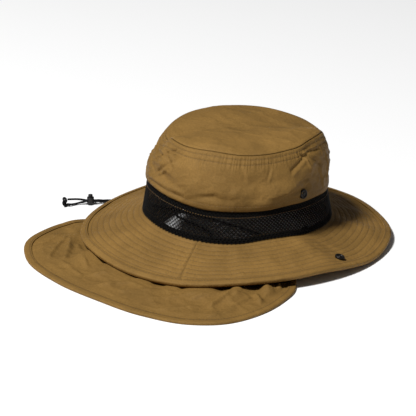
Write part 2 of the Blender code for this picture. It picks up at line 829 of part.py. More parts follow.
def main():
    for obj in list(bpy.data.objects):
        bpy.data.objects.remove(obj, do_unlink=True)
    parts = {}
    for key, name in (("collection", "sun_hat"), ("cutters", "cutters")):
        parts[key] = bpy.data.collections.new(name)
        bpy.context.scene.collection.children.link(parts[key])
    parts["origin"] = bpy.data.objects.new("hat_origin", None)
    parts["collection"].objects.link(parts["origin"])

    cloth = (0.205, 0.118, 0.044)
    black = (0.008, 0.008, 0.009)
    make_mesh_band(material("band_mesh", black, 0.75), parts)
    make_crown_side(material("crown_nylon", cloth, 0.6), parts)
    make_crown_top(material("tip_nylon", cloth, 0.6), parts)
    make_brim(material("brim_nylon", cloth, 0.6), parts)
    make_brim_binding(material("binding_nylon", cloth, 0.55), parts)
    make_neck_cape(material("cape_nylon", cloth, 0.6), parts)
    make_cape_hem(material("hem_nylon", cloth, 0.55), parts)
    make_snaps(material("snap_metal", (0.01, 0.008, 0.006), 0.35, 0.6), parts)
    make_tabs(material("tab_webbing", black, 0.8), parts)
    make_cords(material("cord_braid", black, 0.7), parts)
    make_knot(material("knot_braid", black, 0.7), parts)
    make_cord_lock(material("lock_plastic", (0.012, 0.011, 0.011), 0.4), parts)
    make_lock_button(material("button_plastic", (0.014, 0.013, 0.013), 0.35), parts)
    move_origin(parts)


main()
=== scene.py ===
import math
from collections import namedtuple

import bpy
import numpy as np
from mathutils import Matrix, Vector, noise


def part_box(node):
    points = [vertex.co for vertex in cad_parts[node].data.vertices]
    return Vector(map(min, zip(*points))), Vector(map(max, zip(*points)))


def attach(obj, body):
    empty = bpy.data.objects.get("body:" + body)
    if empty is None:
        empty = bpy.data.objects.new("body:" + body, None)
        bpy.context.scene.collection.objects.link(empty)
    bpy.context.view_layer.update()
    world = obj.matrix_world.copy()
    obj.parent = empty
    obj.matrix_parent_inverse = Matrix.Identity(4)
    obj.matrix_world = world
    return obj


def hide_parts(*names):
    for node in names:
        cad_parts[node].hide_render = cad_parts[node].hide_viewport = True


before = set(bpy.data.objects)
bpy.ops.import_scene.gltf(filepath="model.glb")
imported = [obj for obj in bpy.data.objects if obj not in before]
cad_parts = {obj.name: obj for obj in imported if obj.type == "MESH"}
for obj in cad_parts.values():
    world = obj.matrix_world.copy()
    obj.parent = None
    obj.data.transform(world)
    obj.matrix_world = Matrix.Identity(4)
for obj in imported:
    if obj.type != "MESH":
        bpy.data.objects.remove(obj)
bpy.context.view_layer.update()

band_low, band_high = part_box("mesh_band")
HEAD = np.array([(band_low[0] + band_high[0]) / 2, (band_low[1] + band_high[1]) / 2, 0.0])

# The sizes, tables and curves that the solids are made from, down to the knot's entries

# Air left between pieces that touch
GAP = 0.0003

# Head opening, measured inside the mesh band at its foot
HEAD_HALF_LENGTH = 0.0962
HEAD_HALF_WIDTH = 0.0882

# Mesh band
FOOT_HEIGHT = 0.026
BAND_HEIGHT = 0.032
BAND_TAPER = 0.0056
BAND_WALL = 0.0012
BAND_LAP = 0.005

# Crown
CROWN_HEIGHT = 0.052
CROWN_WALL = 0.0012
FOLD_DEPTH = 0.004
TIP_RISE = 0.0045
LEAN = 0.0056
LEAN_ANGLE = 221

# Brim
BRIM_WIDTH = 0.061
BRIM_WALL = 0.002
BRIM_SAG = 0.12
COLLAR_HEIGHT = 0.005
EDGE_LIFT = 0.010
EDGE_DROOP = 0.0005
BINDING_WIDTH = 0.0065
BINDING_WALL = 0.0008

# Neck cape
CAPE_REACH = 0.212
CAPE_WALL = 0.001
CAPE_SEAM = 0.002
CAPE_FALL = 0.014
CAPE_FIRST_ANGLE = 24
CAPE_LAST_ANGLE = 155
CAPE_FOLD = 0.006
HEM_WIDTH = 0.0065
HEM_WALL = 0.0007
HEM_MARGIN = 0.004

# Press studs that hold the brim up against the crown
SNAP_RADIUS = 0.0047
SNAP_HEIGHT = 0.0022
CROWN_SNAP_RISE = 0.0085
BRIM_SNAP_INSET = 0.015
SNAP_ANGLES = {"left": 350, "right": 176}

# Chin cord
CORD_DIAMETER = 0.0022
TAB_WIDTH = 0.008
TAB_WALL = 0.0015
TAB_DROP = 0.013
TAB_ANGLES = {"left": 0, "right": 180}

# Cord lock, standing on the surface
LOCK_PLACE = (0.1692, 0.0311)
LOCK_HEADING = 41
LOCK_RADIUS = 0.0036
LOCK_HEIGHT = 0.008
LOCK_HOLE_HEIGHT = 0.004
LOCK_HOLE_CLEARANCE = 0.0004
BUTTON_RADIUS = 0.0023
BUTTON_CLEARANCE = 0.0003
BUTTON_STROKE = 0.0015
BUTTON_TOP = 0.0106
LOCK_ROOF = 0.0005

# Knot at the end of the chin cord
KNOT_REACH = 0.0259
KNOT_SIDE = -0.0048
KNOT_SCALE = 0.00145

# Steps of the solids round the hat and along the cape, and how much closer the cape's ribs stand
# at its corners
ROUND_STEPS = 60
CAPE_STEPS = 40
CAPE_CROWDING = 0.11

# The hat's height and reach round its edge. foot, band, crown and lift are shares of
# FOOT_HEIGHT, BAND_HEIGHT, CROWN_HEIGHT and EDGE_LIFT, and brim is a share of BRIM_WIDTH.
Station = namedtuple("Station", "angle foot band crown brim lift")
STATIONS = [Station(*row) for row in (
    (0, 1.10, 1.02, 0.91, 1.00, 0.45),
    (25, 1.15, 1.03, 0.83, 1.00, 0.36),
    (50, 1.21, 1.03, 0.72, 1.00, 0.55),
    (68, 1.23, 1.05, 0.85, 1.00, 0.80),
    (90, 1.12, 1.03, 0.92, 1.00, 0.47),
    (110, 1.02, 0.97, 1.01, 1.00, 0.32),
    (130, 0.99, 0.95, 0.98, 1.00, 0.70),
    (150, 1.08, 0.86, 0.98, 1.00, 0.87),
    (163, 1.04, 0.91, 0.98, 1.00, 0.93),
    (175, 0.94, 0.97, 1.00, 1.00, 0.60),
    (190, 0.88, 1.00, 1.06, 1.00, 0.17),
    (210, 0.81, 0.97, 1.09, 0.98, 0.38),
    (238, 0.79, 0.97, 0.93, 0.93, 0.00),
    (265, 0.83, 0.98, 0.93, 0.98, 0.08),
    (300, 0.90, 1.00, 0.98, 1.00, 0.43),
    (335, 1.02, 1.02, 0.95, 1.00, 0.75),
)]

# The crown's side, from its lower edge at level 0 to the seam at level 1
Profile = namedtuple("Profile", "level radius")
CROWN_PROFILE = [
    Profile(0.00, 1.000),
    Profile(0.10, 1.000),
    Profile(0.25, 0.984),
    Profile(0.50, 0.964),
    Profile(0.72, 0.937),
    Profile(0.88, 0.901),
    Profile(1.00, 0.862),
]

# The crown's tip, from the seam at 0 to its middle at 1, with the rise as a share of TIP_RISE
Tip = namedtuple("Tip", "inward rise")
TIP_PROFILE = [
    Tip(0.00, 0.00),
    Tip(0.06, 0.48),
    Tip(0.20, 0.80),
    Tip(0.55, 1.00),
    Tip(1.00, 0.90),
]

# Soft folds of the crown: depth is a share of FOLD_DEPTH, outward or upward when positive, and
# wide and tall are the fold's half sizes in degrees and in levels. A level past 1 is on the tip.
Fold = namedtuple("Fold", "angle level depth wide tall")
CROWN_FOLDS = [Fold(*row) for row in (
    (40, 0.62, 0.10, 15, 0.24),
    (58, 0.97, -0.80, 14, 0.18),
    (76, 0.30, -0.60, 12, 0.11),
    (84, 0.78, -0.40, 9, 0.12),
    (108, 0.58, 0.50, 20, 0.26),
    (120, 0.24, -0.30, 17, 0.10),
    (150, 0.24, -0.35, 12, 0.11),
    (158, 0.62, 0.45, 12, 0.20),
    (173, 0.46, -0.65, 9, 0.13),
    (184, 0.88, -0.70, 7, 0.09),
    (206, 0.50, 0.60, 16, 0.26),
    (238, 0.32, -0.50, 18, 0.10),
    (268, 0.62, 0.45, 22, 0.22),
    (300, 0.36, -0.55, 16, 0.12),
    (335, 0.66, -0.40, 16, 0.18),
    (62, 1.22, -0.55, 26, 0.16),
    (140, 1.42, 0.30, 40, 0.20),
    (215, 1.55, -0.40, 45, 0.22),
    (310, 1.30, -0.30, 30, 0.18),
)]

# The neck cape's outline on the surface, as shares of CAPE_REACH
Outline = namedtuple("Outline", "angle reach")
CAPE_OUTLINE = [Outline(*row) for row in (
    (24, 0.600),
    (28, 0.755),
    (33, 0.827),
    (39, 0.893),
    (46, 0.958),
    (58, 0.998),
    (78, 0.997),
    (94, 1.008),
    (108, 1.056),
    (120, 1.086),
    (128, 1.058),
    (136, 0.965),
    (144, 0.838),
    (150, 0.734),
    (155, 0.600),
)]

# Folds of the cape where it lies: reach and tall run from its fall at 0 to its edge at 1, and
# rise is a share of CAPE_FOLD
CapeFold = namedtuple("CapeFold", "angle reach rise wide tall")
CAPE_FOLDS = [CapeFold(*row) for row in (
    (36, 0.62, 0.65, 4, 0.16),
    (46, 0.40, 0.80, 4, 0.22),
    (56, 0.66, 0.45, 4, 0.22),
    (70, 0.52, 0.55, 4, 0.20),
    (88, 0.42, 0.70, 6, 0.16),
    (104, 0.60, 0.35, 5, 0.16),
    (118, 0.46, 0.60, 5, 0.12),
    (130, 0.44, 0.90, 4, 0.14),
    (142, 0.56, 0.60, 5, 0.16),
)]

# The cord's two runs, from each tab to the lock: across the hat's middle and out under
# the brim. x and y are from the middle of the head opening.
CordPoint = namedtuple("CordPoint", "x y height")
CORD_RUNS = {
    "left": [CordPoint(*row) for row in (
        (0.0838, 0.0006, 0.0060),
        (0.0775, 0.0020, 0.0020),
        (0.0660, 0.0045, 0.0013),
        (0.0440, 0.0090, 0.0013),
        (0.0220, 0.0160, 0.0013),
        (0.0110, 0.0280, 0.0013),
        (0.0170, 0.0400, 0.0013),
        (0.0340, 0.0440, 0.0013),
        (0.0560, 0.0370, 0.0013),
        (0.0800, 0.0260, 0.0013),
        (0.1030, 0.0165, 0.0013),
        (0.1260, 0.0115, 0.0013),
        (0.1460, 0.0125, 0.0013),
        (0.1595, 0.0185, 0.0015),
    )],
    "right": [CordPoint(*row) for row in (
        (-0.0838, -0.0006, 0.0060),
        (-0.0775, -0.0025, 0.0020),
        (-0.0660, -0.0055, 0.0013),
        (-0.0420, -0.0105, 0.0013),
        (-0.0120, -0.0140, 0.0013),
        (0.0200, -0.0150, 0.0013),
        (0.0520, -0.0140, 0.0013),
        (0.0820, -0.0115, 0.0013),
        (0.1100, -0.0075, 0.0013),
        (0.1340, -0.0015, 0.0013),
        (0.1510, 0.0065, 0.0013),
        (0.1630, 0.0149, 0.0015),
    )],
}

# The cord's ends, from just before the lock to the knot: along and aside are measured
# from the lock, along its heading and to the right of it.
EndPoint = namedtuple("EndPoint", "along aside height")
CORD_ENDS = {
    "left": [EndPoint(*row) for row in (
        (-0.0130, 0.0030, 0.0018),
        (-0.0085, 0.0006, 0.0032),
        (-0.0040, -0.00125, 0.0040),
        (0.0040, -0.00125, 0.0040),
        (0.0080, -0.0010, 0.0031),
        (0.0120, -0.0012, 0.0020),
        (0.0160, -0.0030, 0.0016),
        (0.0200, -0.0058, 0.0021),
    )],
    "right": [EndPoint(*row) for row in (
        (-0.0130, 0.0066, 0.0019),
        (-0.0085, 0.0036, 0.0033),
        (-0.0040, 0.00125, 0.0040),
        (0.0040, 0.00125, 0.0040),
        (0.0080, 0.0018, 0.0045),
        (0.0130, 0.0012, 0.0052),
        (0.0180, -0.0010, 0.0060),
    )],
}
# Where each run meets the knot, from the knot's middle: to the right of the heading, and up
KNOT_ENTRIES = {"left": (-0.0026, -0.0012), "right": (0.0020, 0.0022)}

# Stitching: distances in metres, from the seam or edge that a row runs along
HEM_STRIP = 0.0052
SEAM_ROW = 0.0034
GATHER_ROW = 0.0078
BRIM_ROWS = 9
BRIM_FIRST_ROW = 0.0045
BRIM_LAST_ROW = 0.0098
BAND_ROW = 0.0062
STITCH_PITCH = 0.0028
STITCH_LENGTH = 0.0017
STITCH_WIDTH = 0.00046

# Rings of one stitch: the place along it, the girth and the lift, as shares of its size
STITCH_RINGS = [(-0.5, 0, -0.6), (-0.3, 0.8, 0), (0, 1, 0.25), (0.3, 0.8, 0), (0.5, 0, -0.6)]

# Dish and boss of a press stud, from its rim inwards, as shares of its radius and height
SNAP_DISH = [(0.62, 0.62), (0.42, 0.6), (0.36, 0.68), (0.3, 0.9)]
SNAP_DISH += [(0.2, 0.98), (0.08, 0.9), (0, 0.88)]

# Ribs of the webbing: how far apart and how tall, across it and up it
TAB_RIBS = {"across": (0.001, 0.00012), "up": (0.0012, 0.00006)}

# Braid of the cord: strands that wind each way, the length of a turn and the grooves' share of
# the cord's radius, and the steps round it, along each run and along the knot
BRAID_STRANDS = 4
BRAID_PITCH = 0.0052
BRAID_DEPTH = 0.05
BRAID_SIDES = 16
CORD_STEPS = 700
KNOT_STEPS = 150

# Relief of the cloth, in metres out of its face, and the pleats' width in degrees with their mean
CROWN_LUMPS = 0.0012
CROWN_CREASE = 0.00035
CRUSHED_CREASE = 0.0012
GATHER_DEPTH = 0.0007
FRONT_SAG = 0.0030
TIP_LUMPS = 0.0013
TIP_CREASE = 0.00055
QUILT_DEPTH = 0.00028
BRIM_PUCKER = 0.0002
BRIM_LUMPS = 0.0009
JOINT_DEPTH = 0.0009
STRIP_PUCKER = 0.00016
CAPE_LUMPS = 0.0011
CROWN_PLEAT = 2.4
BRIM_PLEAT = 2.3
STRIP_PLEAT = 2.7
PLEAT_MEAN = 0.6

# How the pleats wander from even places: size in radians, turns round the hat, start in degrees
PLEAT_WANDER = [(0.9, 3, 20), (0.6, 7, 75), (0.5, 17, 0), (0.8, 43, 10)]

# Angle of the seam that joins the brim's two halves beside the cape
BRIM_JOINT = 107

# Colours of the cloth, the threads, the net, the cord with its lock, and the press studs
BROWN = (0.236, 0.133, 0.036)
BROWN_THREAD = (0.105, 0.058, 0.022)
TAN_THREAD = (0.21, 0.12, 0.042)
PALE_THREAD = (0.30, 0.17, 0.06)
NET_COLOUR = (0.0075, 0.0070, 0.0066)
FOLDED_NET_COLOUR = (0.0030, 0.0028, 0.0027)
CORD_COLOUR = (0.0065, 0.0065, 0.007)
WEBBING_COLOUR = (0.010, 0.010, 0.010)
LOCK_COLOUR = (0.011, 0.010, 0.010)
BUTTON_COLOUR = (0.012, 0.011, 0.011)
SNAP_COLOUR = (0.012, 0.010, 0.0085)

# Rows of a folded strip that carry its stitching, under and over its edge
STRIP_ROWS = (2, -3)

# Nylon: its roughness and the distance from thread to thread
NYLON_ROUGHNESS = 0.62
NYLON_THREAD = 0.00055

# Net of the band: the width of one hole with its strand, and the strand's own size
NET_PITCH = 0.0039
NET_STRAND = 0.0010
NET_DEPTH = 0.0006
NET_HEM = COLLAR_HEIGHT + 0.0006

# Camera and light, as angles in degrees round the hat and up
CAMERA_ANGLE = 221
CAMERA_RISE = 20
CAMERA_DISTANCE = 2.2
CAMERA_TARGET = (0.027575, 0.012063, 0.024690)
CAMERA_LENS = 194.19
SENSOR = 36.0

# Sharp folds of the crown's side, each from one angle and level to another. A positive depth is a
# valley, in metres, and a negative one a ridge.
Crease = namedtuple("Crease", "angle level to_angle to_level depth width")
CROWN_CREASES = [Crease(*row) for row in (
    (66, 0.10, 96, 0.12, 0.0016, 0.0024),
    (100, 0.12, 116, 0.30, 0.0010, 0.0026),
    (146, 0.20, 184, 0.66, -0.0050, 0.0090),
    (160, 0.20, 180, 0.28, 0.0013, 0.0026),
    (178, 0.82, 164, 0.65, 0.0017, 0.0016),
    (178, 0.82, 181, 0.56, -0.0014, 0.0013),
    (178, 0.82, 195, 0.58, 0.0018, 0.0017),
    (178, 0.82, 196, 0.82, 0.0014, 0.0013),
    (178, 0.82, 172, 0.92, 0.0008, 0.0011),
    (44, 0.81, 72, 0.66, 0.0021, 0.0018),
    (70, 0.80, 84, 0.58, 0.0022, 0.0017),
    (81, 0.88, 62, 0.54, 0.0021, 0.0018),
    (84, 0.72, 70, 0.32, 0.0017, 0.0020),
    (54, 0.60, 66, 0.30, 0.0015, 0.0020),
    (130, 0.80, 133, 0.60, 0.0006, 0.0016),
    (149, 0.76, 147, 0.56, 0.0006, 0.0016),
    (102, 0.84, 104, 0.64, 0.0006, 0.0016),
    (192, 0.50, 200, 0.14, 0.0012, 0.0022),
    (204, 0.66, 208, 0.20, 0.0010, 0.0022),
    (222, 0.55, 252, 0.30, 0.0014, 0.0026),
    (262, 0.62, 292, 0.34, 0.0013, 0.0024),
    (300, 0.70, 318, 0.36, 0.0012, 0.0022),
    (330, 0.28, 356, 0.46, 0.0014, 0.0026),
    (8, 0.74, 30, 0.44, 0.0012, 0.0020),
)]

# Sharp folds of the cape where it lies, each from one angle and distance to another
CapeCrease = namedtuple("CapeCrease", "angle reach to_angle to_reach rise width")
CAPE_CREASES = [CapeCrease(*row) for row in (
    (36, 0.158, 66, 0.182, 0.0030, 0.0032),
    (43, 0.156, 33, 0.150, 0.0032, 0.0030),
    (47, 0.168, 62, 0.193, 0.0022, 0.0018),
    (54, 0.158, 75, 0.172, 0.0020, 0.0024),
    (52, 0.194, 44, 0.173, 0.0014, 0.0020),
    (65, 0.156, 78, 0.146, 0.0018, 0.0026),
    (81, 0.178, 86, 0.150, 0.0018, 0.0028),
    (67, 0.187, 79, 0.187, 0.0015, 0.0026),
    (88, 0.189, 96, 0.160, 0.0020, 0.0030),
    (96, 0.190, 103, 0.174, 0.0014, 0.0022),
    (106, 0.193, 116, 0.170, 0.0018, 0.0028),
    (111, 0.211, 120, 0.193, 0.0016, 0.0026),
    (123, 0.190, 130, 0.158, 0.0034, 0.0024),
    (117, 0.178, 129, 0.160, 0.0022, 0.0020),
    (123, 0.220, 130, 0.194, 0.0016, 0.0028),
    (136, 0.164, 138, 0.196, 0.0026, 0.0024),
    (134, 0.172, 128, 0.196, 0.0018, 0.0022),
)]

# Soft waves across the brim: angle, depth in metres and half width in degrees
BrimWave = namedtuple("BrimWave", "angle depth wide")
BRIM_WAVES = [BrimWave(*row) for row in (
    (104.0, -0.0008, 2.0),
    (109.5, 0.0008, 2.6),
    (125.0, -0.0008, 2.6),
    (130.5, 0.0006, 3.0),
    (148.0, -0.0007, 3.4),
    (166.0, 0.0010, 4.0),
    (178.0, -0.0009, 3.4),
    (62.0, -0.0007, 3.5),
    (84.0, 0.0007, 4.0),
    (214.0, 0.0010, 5.0),
    (246.0, -0.0009, 5.0),
    (287.0, 0.0010, 5.0),
    (322.0, -0.0008, 4.0),
)]

# Ruffles where the cape comes out from under the brim's edge: past is how far out from the edge
# the ruffle is tallest, and reach how far it fades along its length
Ruffle = namedtuple("Ruffle", "angle rise wide past reach")
CAPE_RUFFLES = [Ruffle(*row) for row in (
    (66, 0.0120, 9.0, -0.002, 0.012),
    (81, 0.0120, 9.0, -0.002, 0.012),
    (96.5, 0.0100, 4.2, -0.001, 0.010),
    (107.6, 0.0100, 3.4, -0.001, 0.009),
    (118, 0.0120, 7.0, -0.001, 0.010),
    (130, 0.0120, 2.2, 0.001, 0.009),
    (140.5, 0.0100, 2.6, 0.0, 0.008),
    (146, 0.0080, 2.2, 0.0, 0.008),
)]

# Light: degrees left of the camera and above the surface
KEY_LEFT = 46
KEY_RISE = 57
KEY_POWER = 315
KEY_DISTANCE = 5.0
KEY_SIZE = 0.9
SKY_STRENGTH = 0.10


def curve_through(places, values, place):
    """Smooth curve through the given values, read at one place or many."""
    places, values = np.asarray(places, float), np.asarray(values, float)
    slopes = np.gradient(values, places)
    i = np.clip(np.searchsorted(places, place) - 1, 0, len(places) - 2)
    span = places[i + 1] - places[i]
    t = (place - places[i]) / span
    start = (1 + 2 * t) * (1 - t) ** 2 * values[i] + t * (1 - t) ** 2 * span * slopes[i]
    end = t * t * (3 - 2 * t) * values[i + 1] + t * t * (t - 1) * span * slopes[i + 1]
    return start + end


def read_table(rows, column, place):
    """Values of a column between its rows, whose first column holds their places."""
    return curve_through([row[0] for row in rows], [getattr(row, column) for row in rows], place)


def around(column, angle):
    """Share in STATIONS at each angle, read round the hat without a break."""
    places = [row.angle + turn for turn in (-360, 0, 360) for row in STATIONS]
    values = [getattr(row, column) for row in STATIONS] * 3
    return curve_through(places, values, np.mod(angle, 360))


def ellipse(angle, shrink):
    """Radius at each angle of the head opening's outline, made smaller by shrink all round."""
    length, width = HEAD_HALF_LENGTH - shrink, HEAD_HALF_WIDTH - shrink
    turn = np.radians(angle)
    return 1 / np.hypot(np.cos(turn) / width, np.sin(turn) / length)


def points_of(*parts):
    """Points from arrays of their coordinates."""
    return np.stack(np.broadcast_arrays(*parts), axis=-1)


def polar(angle, radius, height=0.0):
    turn = np.radians(angle)
    return points_of(radius * np.cos(turn), radius * np.sin(turn), height)


def smooth_step(share):
    share = np.clip(share, 0.0, 1.0)
    return share * share * (3 - 2 * share)


def turned_by(angle, other):
    """Degrees from one angle to another, by the shorter way."""
    return (angle - other + 180) % 360 - 180


def bell(distance, width):
    return np.exp(-((distance / width) ** 2))


def lengths_of(vectors):
    return np.linalg.norm(vectors, axis=-1)


def unit(vectors):
    return vectors / np.maximum(lengths_of(vectors), 1e-12)[..., None]


def foot_height(angle):
    return FOOT_HEIGHT * around("foot", angle)


def band_height(angle):
    return BAND_HEIGHT * around("band", angle)


def crown_fold(angle, level):
    """How far the crown's cloth stands out or up, clear of its lapped edge and the tip's middle."""
    total = 0.0
    for fold in CROWN_FOLDS:
        across = turned_by(angle, fold.angle) / fold.wide
        along = (level - fold.level) / fold.tall
        total = total + fold.depth * np.exp(-across * across - along * along)
    lap = BAND_LAP / CROWN_HEIGHT
    return FOLD_DEPTH * total * smooth_step(level / lap - 1) * smooth_step((2 - level) * 2)


def lean(level):
    """Sideways set of the crown at a level: above the lap, it stands a little to one side."""
    lap = BAND_LAP / CROWN_HEIGHT
    return polar(LEAN_ANGLE, LEAN * np.clip((level - lap) / (1 - lap), 0.0, 1.0))


def crown_side_point(angle, level):
    """Inner face of the crown's side."""
    radius = ellipse(angle, BAND_TAPER) + BAND_WALL + GAP
    radius = radius * read_table(CROWN_PROFILE, "radius", level) + crown_fold(angle, level)
    height = foot_height(angle) + band_height(angle)
    height = height + level * CROWN_HEIGHT * around("crown", angle)
    return polar(angle, radius, height) + lean(level)


def tip_middle():
    """Middle of the tip, level with the mean of the seam round it."""
    seam = crown_side_point(ring_angles(ROUND_STEPS), np.array(1.0))
    return lean(np.array(1.0)) + np.array([0, 0, seam[..., 2].mean()])


def tip_point(angle, inward, middle):
    """Inner face of the tip, from the seam to its middle."""
    seam = crown_side_point(angle, np.array(1.0))
    share = np.broadcast_to(inward, np.broadcast(angle, inward).shape)
    flat = seam + (middle - seam) * share[..., None]
    height = seam[..., 2] + (middle[2] - seam[..., 2]) * smooth_step(inward)
    height = height + TIP_RISE * read_table(TIP_PROFILE, "rise", inward)
    height = height + crown_fold(angle, 1 + inward) * smooth_step(inward * 6)
    flat[..., 2] = height
    return flat


def collar_radius(angle, rise=0.0):
    """Outer face of the collar inside the band, which leans in with the band as it rises."""
    return ellipse(angle, BAND_TAPER * rise / band_height(angle)) - GAP


def brim_point(angle, share):
    """Upper face of the brim, from the collar at share 0 to its edge at share 1."""
    radius = collar_radius(angle) + share * BRIM_WIDTH * around("brim", angle)
    start = foot_height(angle) - GAP
    edge = BRIM_WALL + GAP + BINDING_WALL + EDGE_DROOP + EDGE_LIFT * around("lift", angle)
    height = start + (edge - start) * (share + BRIM_SAG * share * (1 - share))
    return polar(angle, radius, height)


def brim_normal(angle, share):
    """Direction straight out of the brim's upper face."""
    step = 0.01
    along = brim_point(angle + 1, share) - brim_point(angle - 1, share)
    outward = brim_point(angle, share + step) - brim_point(angle, share - step)
    return unit(np.cross(outward, along))


def crown_normal(angle, level):
    step = 0.01
    along = crown_side_point(angle + 1, level) - crown_side_point(angle - 1, level)
    upward = crown_side_point(angle, level + step) - crown_side_point(angle, level - step)
    return unit(np.cross(along, upward))


def cape_rest(in_hem):
    """Height of the lying cape's upper face: in_hem is 1 inside its hem and 0 clear of it."""
    return CAPE_WALL + GAP / 2 + (HEM_WALL + GAP / 2) * in_hem


def cape_start(angle):
    """Upper end of the cape, just under the brim beside the collar."""
    share = CAPE_SEAM / BRIM_WIDTH
    return brim_point(angle, share) - brim_normal(angle, share) * (BRIM_WALL + GAP)


def cape_edge_radius(angle):
    return CAPE_REACH * read_table(CAPE_OUTLINE, "reach", angle)


def cape_angle(share):
    """Angle of a rib of the cape: the ribs stand closer at its two corners."""
    span = CAPE_LAST_ANGLE - CAPE_FIRST_ANGLE
    return CAPE_FIRST_ANGLE + span * (share - CAPE_CROWDING * np.sin(2 * math.pi * share))


def cape_edge():
    """Points of the cape's edge, at the solid's ribs."""
    angles = cape_angle(np.linspace(0, 1, CAPE_STEPS + 1))
    return polar(angles, cape_edge_radius(angles))


def cape_fold(angle, reach):
    total = 0.0
    for fold in CAPE_FOLDS:
        across = (angle - fold.angle) / fold.wide
        along = (reach - fold.reach) / fold.tall
        total = total + fold.rise * np.exp(-across * across - along * along)
    return CAPE_FOLD * total


def cape_room(angle, radius):
    """How far the cape may rise at a radius: little under the brim's edge, and freely past it."""
    edge = lengths_of(brim_point(angle, 1.0)[..., :2])
    under = EDGE_DROOP / 2 + EDGE_LIFT * around("lift", angle) - cape_rest(0)
    past = (radius - edge) / CAPE_FOLD - 1.5
    return np.maximum(under, GAP) + 2 * CAPE_FOLD * smooth_step(past)


def ring_angles(steps):
    return np.arange(steps) * 360 / steps


def tangents(points, closed, axis):
    """Direction from point to point along one axis of a grid, which may close on itself."""
    if closed:
        return np.roll(points, -1, axis=axis) - np.roll(points, 1, axis=axis)
    return np.gradient(points, axis=axis)


def normals_of(grid, ring, side=1):
    """Unit normals of a grid of points, out of the face seen with its rows running up."""
    return unit(np.cross(tangents(grid, ring, 1), np.gradient(grid, axis=0))) * side


def lumps(points, size, octaves, shift):
    """Smooth noise at each point, about -1 to 1, with lumps of the given size in metres."""
    flat = (points / np.asarray(size, float)).reshape(-1, 3) + shift
    values = [noise.fractal(Vector(point), 1.0, 2.0, octaves) for point in flat.tolist()]
    return np.array(values).reshape(points.shape[:-1])


def ridges(points, size, shift):
    """Sharp creases, 1 along each and falling to 0 beside it."""
    return np.clip(1 - 3.2 * np.abs(lumps(points, size, 1, shift)), 0, 1) ** 2


def dense_rows(count, marks, reach):
    """Places from 0 to 1, close together round the marked ones, where a groove needs them."""
    places = set(np.linspace(0, 1, count).round(5).tolist())
    for mark in marks:
        places = {place for place in places if abs(place - mark) > 1.1 * reach}
        for share in (-1, -0.45, 0, 0.45, 1):
            places.add(round(mark + share * reach, 5))
    return np.array(sorted(place for place in places if 0 <= place <= 1))


def row_at(places, mark):
    return int(np.argmin(np.abs(places - mark)))


def finish_piece(obj, finish, replaced=(), body="hat"):
    obj.data.materials.append(finish)
    bpy.context.scene.collection.objects.link(obj)
    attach(obj, body)
    if replaced:
        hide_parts(*replaced)
    return obj


def mesh_from(name, corners, faces, uv=None, seam=None):
    mesh = bpy.data.meshes.new(name)
    mesh.from_pydata(corners.tolist(), [], faces)
    if uv is not None:
        layer = mesh.uv_layers.new(name="cloth")
        loops = np.empty(len(mesh.loops), np.int32)
        mesh.loops.foreach_get("vertex_index", loops)
        layer.data.foreach_set("uv", uv[loops].ravel())
    # The seam attribute holds the darkness of seams and stitching, and painted shade on the crown's
    # side.
    if seam is not None:
        mesh.attributes.new("seam", "FLOAT", "POINT").data.foreach_set("value", seam)
    mesh.shade_smooth()
    mesh.validate()
    return mesh


def grid_faces(rows, columns, ring, flip=False, closed=False):
    """Faces of a grid: ring joins its last column to its first, and closed does so for its rows."""
    index = np.arange(rows * columns).reshape(rows, columns)
    if closed:
        index = np.concatenate([index, index[:1]])
    if ring:
        index = np.concatenate([index, index[:, :1]], axis=1)
    corners = [index[:-1, :-1], index[:-1, 1:], index[1:, 1:], index[1:, :-1]]
    if flip:
        corners = corners[::-1]
    return np.stack(corners, axis=-1).reshape(-1, 4).tolist()


def cloth_sheet(name, grid, ring, wall, seam=None, flip=False):
    """Sheet of cloth over a grid of points: the wall lies behind the face that the points give."""
    rows, columns = grid.shape[:2]
    across = np.zeros((rows, columns))
    across[:, 1:] = np.cumsum(lengths_of(np.diff(grid, axis=1)), axis=1)
    upward = np.zeros((rows, columns))
    upward[1:] = np.cumsum(lengths_of(np.diff(grid, axis=0)), axis=0)
    uv = points_of(across.mean(axis=0), upward).reshape(-1, 2)
    seam = np.zeros((rows, columns)) if seam is None else seam
    faces = grid_faces(rows, columns, ring, flip)
    mesh = mesh_from(name, (grid + HEAD).reshape(-1, 3), faces, uv, seam.ravel())
    obj = bpy.data.objects.new(name, mesh)
    solid = obj.modifiers.new("Wall", "SOLIDIFY")
    solid.thickness = wall
    solid.offset = -1
    return obj


def walk(path):
    """Distance along a path at each of its points."""
    return np.concatenate([[0], np.cumsum(lengths_of(np.diff(path, axis=0)))])


def even_places(path, pitch, closed):
    """Places along a path, a pitch apart, as indices with fractions."""
    line = np.concatenate([path, path[:1]]) if closed else path
    walked = walk(line)
    count = max(int(walked[-1] / pitch), 2)
    marks = (np.arange(count) + 0.5) * walked[-1] / count
    return np.interp(marks, walked, np.arange(len(walked)))


def interpolated(places, marks, points):
    """Points at places along a line whose own points lie at the marks."""
    return points_of(*(np.interp(places, marks, column) for column in points.T))


def read_path(path, places, closed):
    line = np.concatenate([path, path[:1]]) if closed else path
    return interpolated(places, np.arange(len(line)), line)


